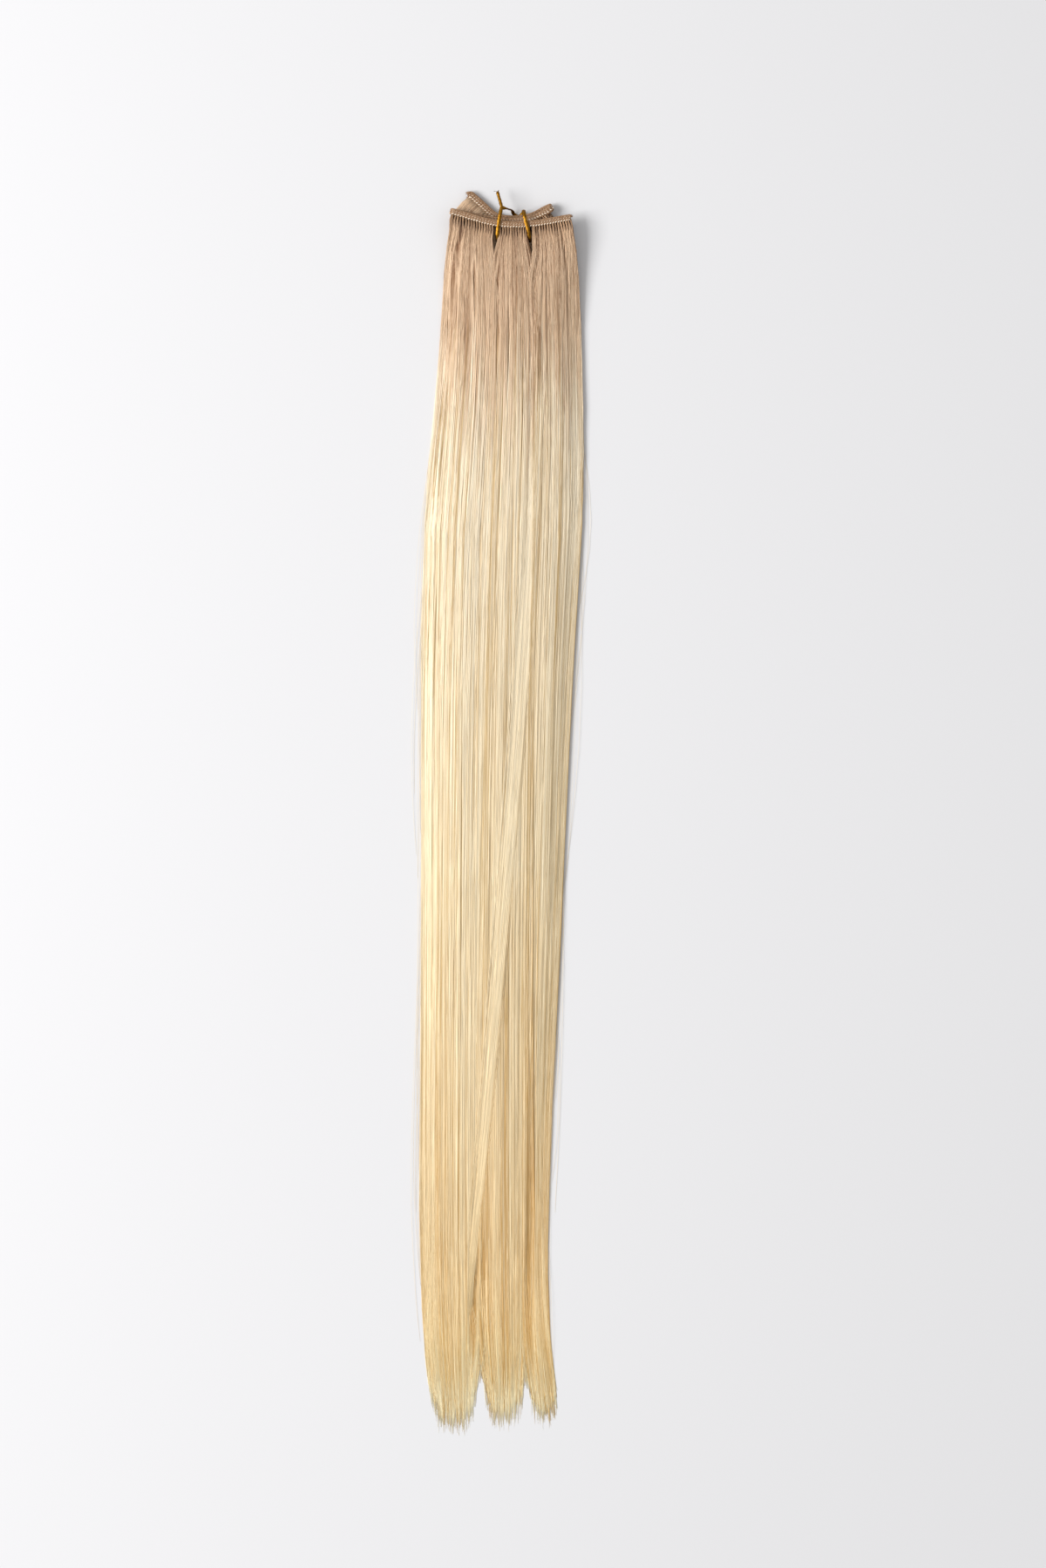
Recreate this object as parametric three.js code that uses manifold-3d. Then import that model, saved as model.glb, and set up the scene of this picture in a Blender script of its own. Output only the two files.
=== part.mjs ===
// A straight machine-made hair weft, lying flat: the sewn seam is folded in three layers and held by a
// twist tie. Millimetres, +Z up. +Y runs along the hair towards the seam, +X across it, and the hair lies
// on z = 0.
import * as THREE from "three";
import { mergeVertices } from "three/addons/utils/BufferGeometryUtils.js";
import Module from "manifold-3d";

// Sewn strip
const STRIP_WIDTH = 3.2;
const STRIP_THICKNESS = 1.6;
const STRIP_CHAMFER = 0.35;
const LAYER_PITCH = 3.0;
const REAR_LAYER_HEIGHT = 2.4;

// Twist tie: a flat wire, and where its two legs cross the strip
const TIE_WIDTH = 1.8;
const TIE_THICKNESS = 0.6;
const TIE_CHAMFER = 0.2;
const TIE_LEFT = -2.8;
const TIE_RIGHT = 12.8;
const PIGTAIL_TURNS = 2.25;

// Gap that pieces keep to each other
const CLEARANCE = 0.35;

// Hair: how far below the seam the roots still turn, the share of its height that it loses towards its long
// edges and how late, the soft valley between the locks of the front layer, the narrowing of their tips and
// the thinnest end
const ROOT_REACH = 44;
const EDGE_DROP = 0.8;
const EDGE_POWER = 2.6;
const VALLEY_DEPTH = 0.5;
const VALLEY_POWER = 4;
const TIP_NARROWING = 0.25;
const THINNEST = 0.4;

// Mesh steps
const LAYER_STEPS = 16;
const FOLD_STEPS = 8;
const LOCK_COLUMNS = 8;
const CURTAIN_COLUMNS = 16;
const TIE_SPAN_STEPS = 5;
const PIGTAIL_STEPS = 26;

// The strip's three layers from the front to the rear, seen from above: points of its middle line from the
// left end past the two legs of the tie to the right end, as x and the height over the seam line.
const SEAM_LAYERS = [
  [[-24.2, 5.9], [TIE_LEFT, 0.2], [TIE_RIGHT, 0.0], [33.7, 3.3]],
  [[-24.2, 5.9], [TIE_LEFT, 2.0], [TIE_RIGHT, 2.5], [22.0, 6.4]],
  [[-17.2, 15.6], [-10.5, 9.7], [TIE_LEFT, 3.5], [TIE_RIGHT, 3.5], [22.4, 8.2]],
];
const FRONT = 0;
const INNER = 1;
const REAR = 2;

// The lying hair, a row for each section: distance below the seam, the two long edges, the underside, and
// the top of the rear, inner and front layers at mid-width.
const HAIR_SECTIONS = [
  { down: 0, left: -24.2, right: 33.7, under: 1.6, rearTop: 3.2, innerTop: 6.2, frontTop: 9.2 },
  { down: 5, left: -26.0, right: 35.0, under: 1.4, rearTop: 3.3, innerTop: 6.3, frontTop: 9.6 },
  { down: 18, left: -29.8, right: 37.2, under: 1.2, rearTop: 3.4, innerTop: 6.4, frontTop: 10.0 },
  { down: 44, left: -30.7, right: 38.5, under: 0, rearTop: 3.3, innerTop: 6.2, frontTop: 9.6 },
  { down: 70, left: -32.4, right: 39.3, under: 0, rearTop: 3.1, innerTop: 5.9, frontTop: 9.1 },
  { down: 97, left: -34.3, right: 39.9, under: 0, rearTop: 3.0, innerTop: 5.6, frontTop: 8.6 },
  { down: 123, left: -37.6, right: 40.2, under: 0, rearTop: 2.9, innerTop: 5.4, frontTop: 8.3 },
  { down: 149, left: -39.3, right: 39.3, under: 0, rearTop: 2.8, innerTop: 5.2, frontTop: 8.0 },
  { down: 201, left: -41.0, right: 35.9, under: 0, rearTop: 2.6, innerTop: 4.8, frontTop: 7.4 },
  { down: 279, left: -40.9, right: 31.8, under: 0, rearTop: 2.3, innerTop: 4.3, frontTop: 6.7 },
  { down: 357, left: -41.0, right: 28.6, under: 0, rearTop: 2.0, innerTop: 3.8, frontTop: 6.0 },
  { down: 436, left: -41.5, right: 24.3, under: 0, rearTop: 1.8, innerTop: 3.3, frontTop: 5.3 },
  { down: 488, left: -42.0, right: 22.4, under: 0, rearTop: 1.5, innerTop: 2.8, frontTop: 4.7 },
  { down: 540, left: -40.7, right: 22.0, under: 0, rearTop: 1.0, innerTop: 1.9, frontTop: 3.9 },
  { down: 552, left: -39.9, right: 22.7, under: 0, rearTop: 0.7, innerTop: 1.0, frontTop: 3.6 },
  { down: 566, left: -38.9, right: 23.7, under: 0, rearTop: 0, innerTop: 0, frontTop: 3.1 },
  { down: 580, left: -37.2, right: 25.0, under: 0, rearTop: 0, innerTop: 0, frontTop: 2.4 },
  { down: 594, left: -34.6, right: 26.7, under: 0, rearTop: 0, innerTop: 0, frontTop: 1.5 },
  { down: 603, left: -33.0, right: 27.0, under: 0, rearTop: 0, innerTop: 0, frontTop: 0.8 },
];
const REAR_END = 552;
const INNER_END = 540;

// Where the front layer parts into its three locks: each parting's place as a share of the width, and its
// gap.
const PARTINGS = [
  { down: 0, left: 0.37, leftGap: 2.8, right: 0.639, rightGap: 2.8 },
  { down: 5, left: 0.37, leftGap: 2.8, right: 0.639, rightGap: 2.8 },
  { down: 18, left: 0.38, leftGap: 0.7, right: 0.65, rightGap: 0.9 },
  { down: 44, left: 0.395, leftGap: 0.5, right: 0.646, rightGap: 0.5 },
  { down: 97, left: 0.398, leftGap: 0.5, right: 0.65, rightGap: 0.5 },
  { down: 201, left: 0.416, leftGap: 0.5, right: 0.676, rightGap: 0.5 },
  { down: 357, left: 0.414, leftGap: 0.5, right: 0.726, rightGap: 0.5 },
  { down: 488, left: 0.45, leftGap: 0.5, right: 0.815, rightGap: 0.5 },
  { down: 552, left: 0.441, leftGap: 0.9, right: 0.812, rightGap: 0.8 },
  { down: 566, left: 0.431, leftGap: 2.0, right: 0.796, rightGap: 1.0 },
  { down: 580, left: 0.412, leftGap: 4.0, right: 0.778, rightGap: 1.8 },
  { down: 594, left: 0.382, leftGap: 5.4, right: 0.759, rightGap: 4.4 },
  { down: 603, left: 0.367, leftGap: 7.0, right: 0.757, rightGap: 6.0 },
];

// The tips of the front layer's locks: how far down each reaches, and over what length it is rounded off.
const LEFT_TIP = { end: 601, round: 9 };
const MIDDLE_TIP = { end: 598, round: 8 };
const RIGHT_TIP = { end: 597, round: 8 };

// The tie's loop from the knot down its left leg, under the roots, up its right leg and back behind the
// seam, and the way that its flat side faces.
const TIE_ROUTE = [
  { x: -1.5, up: 5.0, z: 9.9, faces: "up" },
  { x: -2.4, up: 0.0, z: 10.0, faces: "up" },
  { x: -2.8, up: -3.6, z: 9.9, faces: "up" },
  { x: -2.9, up: -6.6, z: 9.0, faces: "up" },
  { x: -2.8, up: -8.8, z: 6.0, faces: "tips" },
  { x: -2.6, up: -9.4, z: 3.0, faces: "left" },
  { x: -0.8, up: -9.6, z: 0.75, faces: "down" },
  { x: 5.0, up: -9.6, z: 0.6, faces: "down" },
  { x: 10.8, up: -9.6, z: 0.75, faces: "down" },
  { x: 12.8, up: -9.4, z: 3.0, faces: "right" },
  { x: 13.0, up: -8.8, z: 6.0, faces: "tips" },
  { x: 12.9, up: -6.4, z: 9.0, faces: "up" },
  { x: 12.4, up: -3.4, z: 9.9, faces: "up" },
  { x: 11.3, up: 0.6, z: 10.0, faces: "up" },
  { x: 10.5, up: 4.2, z: 9.8, faces: "up" },
  { x: 10.2, up: 6.5, z: 7.6, faces: "away" },
  { x: 10.0, up: 6.7, z: 3.6, faces: "away" },
  { x: 9.6, up: 5.6, z: 0.9, faces: "down" },
  { x: 7.4, up: 3.9, z: 0.6, faces: "down" },
  { x: 5.2, up: 5.4, z: 0.9, faces: "down" },
  { x: 4.4, up: 6.9, z: 3.2, faces: "away" },
  { x: 2.4, up: 7.5, z: 6.4, faces: "away" },
];
const FACING = {
  up: new THREE.Vector3(0, 0, 1),
  down: new THREE.Vector3(0, 0, -1),
  left: new THREE.Vector3(-1, 0, 0),
  right: new THREE.Vector3(1, 0, 0),
  away: new THREE.Vector3(0, 1, 0),
  tips: new THREE.Vector3(0, -1, 0),
};
const KNOT = { x: -0.8, up: 8.4, z: 8.8 };
const PIGTAIL_END = { x: -2.9, up: 15.8, z: 7.6 };

const clamp01 = (value) => Math.min(1, Math.max(0, value));
const smooth = (value) => clamp01(value) ** 2 * (3 - 2 * clamp01(value));
const { lerp } = THREE.MathUtils;
const place = ({ x, up, z }) => new THREE.Vector3(x, up, z);

// One column of a table at a distance below the seam, between its rows.
function tableValue(table, name, down) {
  const next = table.findIndex((row) => row.down >= down);
  if (next < 0) return table.at(-1)[name];
  if (next === 0) return table[0][name];
  const before = table[next - 1];
  const after = table[next];
  return lerp(before[name], after[name], (down - before.down) / (after.down - before.down));
}

// A closed solid through equal rings of points. Each ring goes along its upper side and back along its
// lower side.
function solidThroughRings(rings) {
  const count = rings[0].length;
  const faces = [];
  for (let ring = 0; ring < rings.length - 1; ring += 1) {
    for (let k = 0; k < count; k += 1) {
      const a = ring * count + k;
      const b = ring * count + ((k + 1) % count);
      faces.push([a, b, b + count], [a, b + count, a + count]);
    }
  }
  const last = (rings.length - 1) * count;
  for (const [a, b, c] of ringFaces(count)) faces.push([a, c, b], [last + a, last + b, last + c]);
  return outwardGeometry(rings.flat(), faces);
}

// Triangles between the upper and the lower side of one ring.
function ringFaces(count) {
  const faces = [];
  for (let low = 0, high = count - 1; high - low > 1; low += 1, high -= 1) {
    faces.push([low, low + 1, high]);
    if (high - low > 2) faces.push([low + 1, high - 1, high]);
  }
  return faces;
}

// A geometry from points and faces that all turn the same way, turned so that they face out.
function outwardGeometry(points, faces) {
  const sixVolumes = faces.map(([a, b, c]) => points[a].dot(points[b].clone().cross(points[c])));
  const inward = sixVolumes.reduce((sum, part) => sum + part, 0) < 0;
  const geometry = new THREE.BufferGeometry().setFromPoints(points);
  geometry.setIndex(faces.flatMap(([a, b, c]) => (inward ? [a, c, b] : [a, b, c])));
  return geometry;
}

// A ribbon of one section swept through stations, each with a position, the direction across it and its
// normal.
function ribbon(stations, section) {
  return solidThroughRings(
    stations.map(({ position, across, normal }) =>
      section.map(({ a, n }) => position.clone().addScaledVector(across, a).addScaledVector(normal, n)),
    ),
  );
}

function flatSection(width, thickness, chamfer) {
  const side = width / 2;
  const face = thickness / 2;
  const upper = [
    { a: -side, n: face - chamfer },
    { a: chamfer - side, n: face },
    { a: side - chamfer, n: face },
    { a: side, n: face - chamfer },
  ];
  return [...upper, ...upper.toReversed().map(({ a, n }) => ({ a, n: -n }))];
}

// Middle line of one layer of the folded strip from left to right, seen from above.
const LAYER_CURVES = SEAM_LAYERS.map(
  (points) => new THREE.CatmullRomCurve3(points.map(([x, up]) => new THREE.Vector3(x, up, 0))),
);

// Place on a layer's middle line at a share of its length, its direction, and the direction to its free
// edge.
function layerPlace(layer, share) {
  const tangent = LAYER_CURVES[layer].getTangentAt(share);
  const height = REAR_LAYER_HEIGHT + (REAR - layer) * LAYER_PITCH;
  const position = LAYER_CURVES[layer].getPointAt(share).setZ(height);
  return { position, tangent, across: new THREE.Vector3(-tangent.y, tangent.x, 0) };
}

// The strip runs from its cut end at the right of the front layer through two round folds to its cut end at
// the left of the rear layer.
function seamStrip() {
  const stations = [];
  for (const layer of [FRONT, INNER, REAR]) {
    const leftward = layer !== INNER;
    for (let k = 0; k <= LAYER_STEPS; k += 1) {
      const share = k / LAYER_STEPS;
      const { position, across } = layerPlace(layer, leftward ? 1 - share : share);
      stations.push({ position, across, normal: new THREE.Vector3(0, 0, leftward ? 1 : -1) });
    }
    if (layer !== REAR) stations.push(...foldStations(layer, leftward));
  }
  return ribbon(stations, flatSection(STRIP_WIDTH, STRIP_THICKNESS, STRIP_CHAMFER));
}

// Half a turn from one end of a layer down to the same end of the layer behind it.
function foldStations(layer, atLeft) {
  const upper = layerPlace(layer, atLeft ? 0 : 1);
  const lower = layerPlace(layer + 1, atLeft ? 0 : 1);
  const side = atLeft ? -1 : 1;
  const outward = upper.tangent.clone().add(lower.tangent).normalize().multiplyScalar(side);
  const stations = [];
  for (let k = 1; k < FOLD_STEPS; k += 1) {
    const turn = (Math.PI * k) / FOLD_STEPS;
    const share = (1 - Math.cos(turn)) / 2;
    const position = upper.position.clone().lerp(lower.position, share);
    position.addScaledVector(outward, (Math.sin(turn) * LAYER_PITCH) / 2);
    const normal = new THREE.Vector3(0, 0, Math.cos(turn)).addScaledVector(outward, Math.sin(turn));
    const across = upper.across.clone().lerp(lower.across, share).normalize();
    stations.push({ position, across, normal: normal.multiplyScalar(-side) });
  }
  return stations;
}

// Height of one surface of the lying hair: full at mid-width, and lower towards the long edges past the
// roots.
function lyingHeight(surface, down, share) {
  const drop = EDGE_DROP * smooth(down / ROOT_REACH) * Math.abs(2 * share - 1) ** EDGE_POWER;
  return tableValue(HAIR_SECTIONS, surface, down) * (1 - drop);
}

// Top of a layer over its underside: nowhere thinner than the thinnest end, until the layer has ended.
function layerTop(surface, floor, down, share) {
  const least = Math.min(THINNEST, tableValue(HAIR_SECTIONS, surface, down));
  return Math.max(lyingHeight(surface, down, share), floor(down, share) + least);
}

// Undersides of the layers: each lies over the one behind it with a gap, and on the ground where that one
// has ended.
const over = (top) => top + Math.min(CLEARANCE, top);
const rearFloor = (down, share) => lyingHeight("under", down, share);
const innerFloor = (down, share) => over(layerTop("rearTop", rearFloor, down, share));
const frontFloor = (down, share) => over(layerTop("innerTop", innerFloor, down, share));

// Where the hair of a layer lies, seen from above: square to the strip at the roots, then between the long
// edges. It never lies past the left edge.
function hairPlace(layer, down, share) {
  const { position, across } = layerPlace(layer, share);
  const left = tableValue(HAIR_SECTIONS, "left", down);
  const right = tableValue(HAIR_SECTIONS, "right", down);
  position.addScaledVector(across, -STRIP_WIDTH / 2 - CLEARANCE - down);
  position.lerp(new THREE.Vector3(lerp(left, right, share), -down, 0), smooth(down / ROOT_REACH));
  return position.setX(Math.max(position.x, tableValue(HAIR_SECTIONS, "left", -position.y)));
}

// The outer form of a layer of hair: a ring at each section, between two edges, from its floor to its top.
function hairBody({ layer, top, floor, sections, edges, columns, valleyDepth }) {
  const rings = sections.map((down) => {
    const upper = [];
    const lower = [];
    const { from, to } = edges(down);
    const deepest = valleyDepth * smooth(down / ROOT_REACH);
    for (let k = 0; k <= columns; k += 1) {
      const share = lerp(from, to, k / columns);
      const valley = deepest * Math.abs((2 * k) / columns - 1) ** VALLEY_POWER;
      const low = floor(down, share);
      const high = Math.max(layerTop(top, floor, down, share) - valley, low + THINNEST);
      upper.push(hairPlace(layer, down, share).setZ(high));
      lower.unshift(hairPlace(layer, down, share).setZ(low));
    }
    return [...upper, ...lower];
  });
  return solidThroughRings(rings);
}

const sectionsTo = (end) => [...HAIR_SECTIONS.map((row) => row.down).filter((down) => down < end), end];

const rearHair = () =>
  hairBody({
    layer: REAR,
    top: "rearTop",
    floor: rearFloor,
    sections: sectionsTo(REAR_END),
    edges: () => ({ from: 0, to: 1 }),
    columns: CURTAIN_COLUMNS,
    valleyDepth: 0,
  });

const innerHair = () =>
  hairBody({
    layer: INNER,
    top: "innerTop",
    floor: innerFloor,
    sections: sectionsTo(INNER_END),
    edges: () => ({ from: 0, to: 1 }),
    columns: CURTAIN_COLUMNS,
    valleyDepth: 0,
  });

// One lock of the front layer. Its tip narrows to a rounded end.
function frontLock(tip, edges) {
  const narrowed = (down) => {
    const { from, to } = edges(down);
    const inset = ((to - from) / 2) * TIP_NARROWING * clamp01(1 - (tip.end - down) / tip.round) ** 2;
    return { from: from + inset, to: to - inset };
  };
  return hairBody({
    layer: FRONT,
    top: "frontTop",
    floor: frontFloor,
    sections: [...sectionsTo(tip.end - tip.round), tip.end - tip.round / 3, tip.end],
    edges: narrowed,
    columns: LOCK_COLUMNS,
    valleyDepth: VALLEY_DEPTH,
  });
}

// The two edges of a parting of the front layer, as shares of the width.
function parting(side, down) {
  const width = tableValue(HAIR_SECTIONS, "right", down) - tableValue(HAIR_SECTIONS, "left", down);
  const middle = tableValue(PARTINGS, side, down);
  const half = tableValue(PARTINGS, `${side}Gap`, down) / 2 / width;
  return { before: middle - half, after: middle + half };
}

const leftLock = () => frontLock(LEFT_TIP, (down) => ({ from: 0, to: parting("left", down).before }));
const middleLock = () =>
  frontLock(MIDDLE_TIP, (down) => ({ from: parting("left", down).after, to: parting("right", down).before }));
const rightLock = () => frontLock(RIGHT_TIP, (down) => ({ from: parting("right", down).after, to: 1 }));

// The two ends of the tie wind round a common axis from the knot to the end of the pigtail.
const pigtailAxis = place(PIGTAIL_END).sub(place(KNOT)).normalize();
const pigtailAway = (TIE_THICKNESS + CLEARANCE) / 2;

// A station on the first or the second end, at a share of the way from the knot. The first lies on top at
// the knot.
function pigtailStation(share, side) {
  const spoke = FACING.up.clone().projectOnPlane(pigtailAxis).normalize().multiplyScalar(side);
  spoke.applyAxisAngle(pigtailAxis, 2 * Math.PI * PIGTAIL_TURNS * share);
  const position = place(KNOT).lerp(place(PIGTAIL_END), share).addScaledVector(spoke, pigtailAway);
  const along = pigtailAxis.clone().multiplyScalar(-side);
  return { position, normal: spoke, across: along.cross(spoke) };
}

// Stations along the loop from the first end round to the second.
function loopStations() {
  const ends = [pigtailStation(0, 1), pigtailStation(0, -1)];
  const curve = new THREE.CatmullRomCurve3([ends[0].position, ...TIE_ROUTE.map(place), ends[1].position]);
  const facing = [ends[0].normal, ...TIE_ROUTE.map((row) => FACING[row.faces]), ends[1].normal];
  const spans = facing.length - 1;
  const stations = [];
  for (let k = 0; k <= spans * TIE_SPAN_STEPS; k += 1) {
    const along = k / TIE_SPAN_STEPS;
    const span = Math.min(Math.floor(along), spans - 1);
    const tangent = curve.getTangent(along / spans);
    const turned = facing[span].clone().lerp(facing[span + 1], along - span);
    const normal = turned.projectOnPlane(tangent).normalize();
    stations.push({ position: curve.getPoint(along / spans), normal, across: tangent.cross(normal) });
  }
  return stations;
}

const tieLoop = loopStations();

function twistTie() {
  const shares = Array.from({ length: PIGTAIL_STEPS }, (_, k) => (k + 1) / PIGTAIL_STEPS);
  const firstEnd = shares.toReversed().map((share) => pigtailStation(share, 1));
  const secondEnd = shares.map((share) => pigtailStation(share, -1));
  return ribbon([...firstEnd, ...tieLoop, ...secondEnd], flatSection(TIE_WIDTH, TIE_THICKNESS, TIE_CHAMFER));
}

// The room that the tie's loop needs, cut out of the hair that it passes through.
const wasm = await Module();
wasm.setup();

function solidOf(geometry) {
  const merged = mergeVertices(geometry);
  const mesh = new wasm.Mesh({
    numProp: 3,
    vertProperties: merged.attributes.position.array,
    triVerts: new Uint32Array(merged.index.array),
  });
  return new wasm.Manifold(mesh);
}

function geometryOf(solid) {
  const mesh = solid.getMesh();
  const geometry = new THREE.BufferGeometry();
  geometry.setAttribute("position", new THREE.BufferAttribute(mesh.vertProperties, 3));
  geometry.setIndex(new THREE.BufferAttribute(mesh.triVerts, 1));
  return geometry;
}

const tieRoom = solidOf(
  ribbon(tieLoop, flatSection(TIE_WIDTH + 2 * CLEARANCE, TIE_THICKNESS + 2 * CLEARANCE, TIE_CHAMFER)),
);
const clearOfTie = (geometry) => geometryOf(solidOf(geometry).subtract(tieRoom));

const SEAM_BROWN = { color: 0xa18062, roughness: 0.75, metalness: 0 };
const HAIR_BLONDE = { color: 0xe6d2ae, roughness: 0.55, metalness: 0 };
const TIE_GOLD = { color: 0xc89628, roughness: 0.28, metalness: 1 };

const weft = new THREE.Group();

function addPiece(name, geometry, finish) {
  const mesh = new THREE.Mesh(geometry, new THREE.MeshStandardMaterial(finish));
  mesh.name = name;
  weft.add(mesh);
}

addPiece("seam_strip", seamStrip(), SEAM_BROWN);
addPiece("hair_front_left", clearOfTie(leftLock()), HAIR_BLONDE);
addPiece("hair_front_middle", clearOfTie(middleLock()), HAIR_BLONDE);
addPiece("hair_front_right", clearOfTie(rightLock()), HAIR_BLONDE);
addPiece("hair_inner", clearOfTie(innerHair()), HAIR_BLONDE);
addPiece("hair_back", clearOfTie(rearHair()), HAIR_BLONDE);
addPiece("twist_tie", twistTie(), TIE_GOLD);

// The origin is under the middle of the lying weft.
const box = new THREE.Box3().setFromObject(weft);
const middle = box.getCenter(new THREE.Vector3());
for (const mesh of weft.children) mesh.position.set(-middle.x, -middle.y, -box.min.z);

export default weft;
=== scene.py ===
from dataclasses import dataclass

import bpy
import numpy as np
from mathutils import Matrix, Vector
from mathutils.bvhtree import BVHTree


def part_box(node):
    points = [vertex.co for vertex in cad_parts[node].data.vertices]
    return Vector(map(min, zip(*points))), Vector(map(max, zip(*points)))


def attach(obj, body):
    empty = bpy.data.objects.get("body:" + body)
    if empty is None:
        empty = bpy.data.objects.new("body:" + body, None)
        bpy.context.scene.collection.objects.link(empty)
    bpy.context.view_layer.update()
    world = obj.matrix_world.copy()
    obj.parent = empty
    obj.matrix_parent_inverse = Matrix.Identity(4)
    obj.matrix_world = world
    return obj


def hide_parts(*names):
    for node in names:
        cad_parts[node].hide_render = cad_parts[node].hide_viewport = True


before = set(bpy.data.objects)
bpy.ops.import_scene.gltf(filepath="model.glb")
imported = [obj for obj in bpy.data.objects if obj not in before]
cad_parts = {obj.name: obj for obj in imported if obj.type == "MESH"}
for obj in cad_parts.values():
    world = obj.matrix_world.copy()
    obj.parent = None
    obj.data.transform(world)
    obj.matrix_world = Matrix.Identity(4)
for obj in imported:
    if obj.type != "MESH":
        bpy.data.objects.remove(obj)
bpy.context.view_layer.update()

MM = 0.001
ACROSS, ALONG, UP = 0, 1, 2

# The photograph: its size, its scale on the object, and the pixel over the object's origin
PHOTO_WIDTH, PHOTO_HEIGHT = 1200, 1799
PHOTO_PIXEL = 0.4348 * MM
ORIGIN_PIXEL = (575.4, 929.9)

# The line that distances down the hair are measured from, and the length of the hair
SEAM_LINE = 292.1 * MM
FULL_LENGTH = 603 * MM

# The sewn strip
STRIP_WIDTH = 3.2 * MM
STRIP_THICKNESS = 1.6 * MM

# Strands: their size, and how far down a strand each of its rings lies, as a share of its length
STRAND_RADIUS = 0.14 * MM
STRAND_SIDES = 3
RING_SHARES = np.array([0, 3, 8, 16, 30, 58, 100, 165, 250, 340, 420, 480, 535, 575, 603]) / 603

# Steps for measuring the hair's edges and heights on the CAD solids
LEVELS = 130
COLUMNS = 13


def smooth(value):
    """0 up to 0, 1 from 1 on, with an even rise between."""
    held = np.clip(value, 0, 1)
    return held * held * (3 - 2 * held)


def rise(value, start, full):
    """0 up to a start, and 1 from a full value on."""
    return smooth((value - start) / (full - start))


def fade(value, reach):
    """1 at 0, and 0 from a reach on."""
    return 1 - smooth(value / reach)


def node_triangles(name):
    """Corner points of a CAD node's triangles."""
    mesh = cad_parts[name].data
    mesh.calc_loop_triangles()
    points = np.empty(3 * len(mesh.vertices))
    corners = np.empty(3 * len(mesh.loop_triangles), np.int32)
    mesh.vertices.foreach_get("co", points)
    mesh.loop_triangles.foreach_get("vertices", corners)
    return points.reshape(-1, 3)[corners].reshape(-1, 3, 3)


def cut_points(triangles, axis, value):
    """Points where the triangles' sides cross the plane at a value of one axis."""
    starts = triangles
    ends = np.roll(triangles, -1, axis=1)
    before = starts[..., axis] - value
    after = ends[..., axis] - value
    crossing = before * after < 0
    share = before[crossing] / (before[crossing] - after[crossing])
    return starts[crossing] + share[:, None] * (ends[crossing] - starts[crossing])


def tree_of(triangles):
    """A search tree for rays against triangles."""
    corners = [tuple(point) for point in triangles.reshape(-1, 3)]
    faces = [(3 * k, 3 * k + 1, 3 * k + 2) for k in range(len(triangles))]
    return BVHTree.FromPolygons(corners, faces)


class SeamLayer:
    """Middle line of one layer of the folded strip, measured on the CAD strip at the layer's height."""

    SAMPLES = 90
    CUT_INSET = 0.4 * MM
    FOLD_INSET = 2.2 * MM
    HALF_SLICE = 0.55 * STRIP_THICKNESS
    HAIR_GAP = 0.7 * MM

    def __init__(self, triangles, height, fold_left, fold_right):
        self.height = height
        at_height = np.abs(triangles[..., UP] - height) < self.HALF_SLICE
        layer = triangles[at_height.all(axis=1)]
        left = layer[..., ACROSS].min() + (self.FOLD_INSET if fold_left else self.CUT_INSET)
        right = layer[..., ACROSS].max() - (self.FOLD_INSET if fold_right else self.CUT_INSET)
        self.x = np.linspace(left, right, self.SAMPLES)
        cuts = [cut_points(layer, ACROSS, x)[:, ALONG] for x in self.x]
        self.y = np.array([(cut.min() + cut.max()) / 2 for cut in cuts])
        self.slope = np.gradient(self.y, self.x)
        self.length = np.hypot(np.diff(self.x), np.diff(self.y)).sum()

    def line(self):
        """Points of the middle line from left to right, and the directions to the strip's free edge."""
        norm = np.hypot(1, self.slope)
        flat = np.zeros_like(self.x)
        points = np.stack([self.x, self.y, flat + self.height], -1)
        return points, np.stack([-self.slope / norm, 1 / norm, flat], -1)

    def lower_edge(self, x):
        """The strip's hair side over x."""
        drop = STRIP_WIDTH / 2 * np.hypot(1, self.slope)
        return np.interp(x, self.x, self.y - drop)

    def hair_begins(self):
        """The highest level at which the layer's hair is there over its whole width."""
        return self.lower_edge(self.x).min() - self.HAIR_GAP


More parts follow.
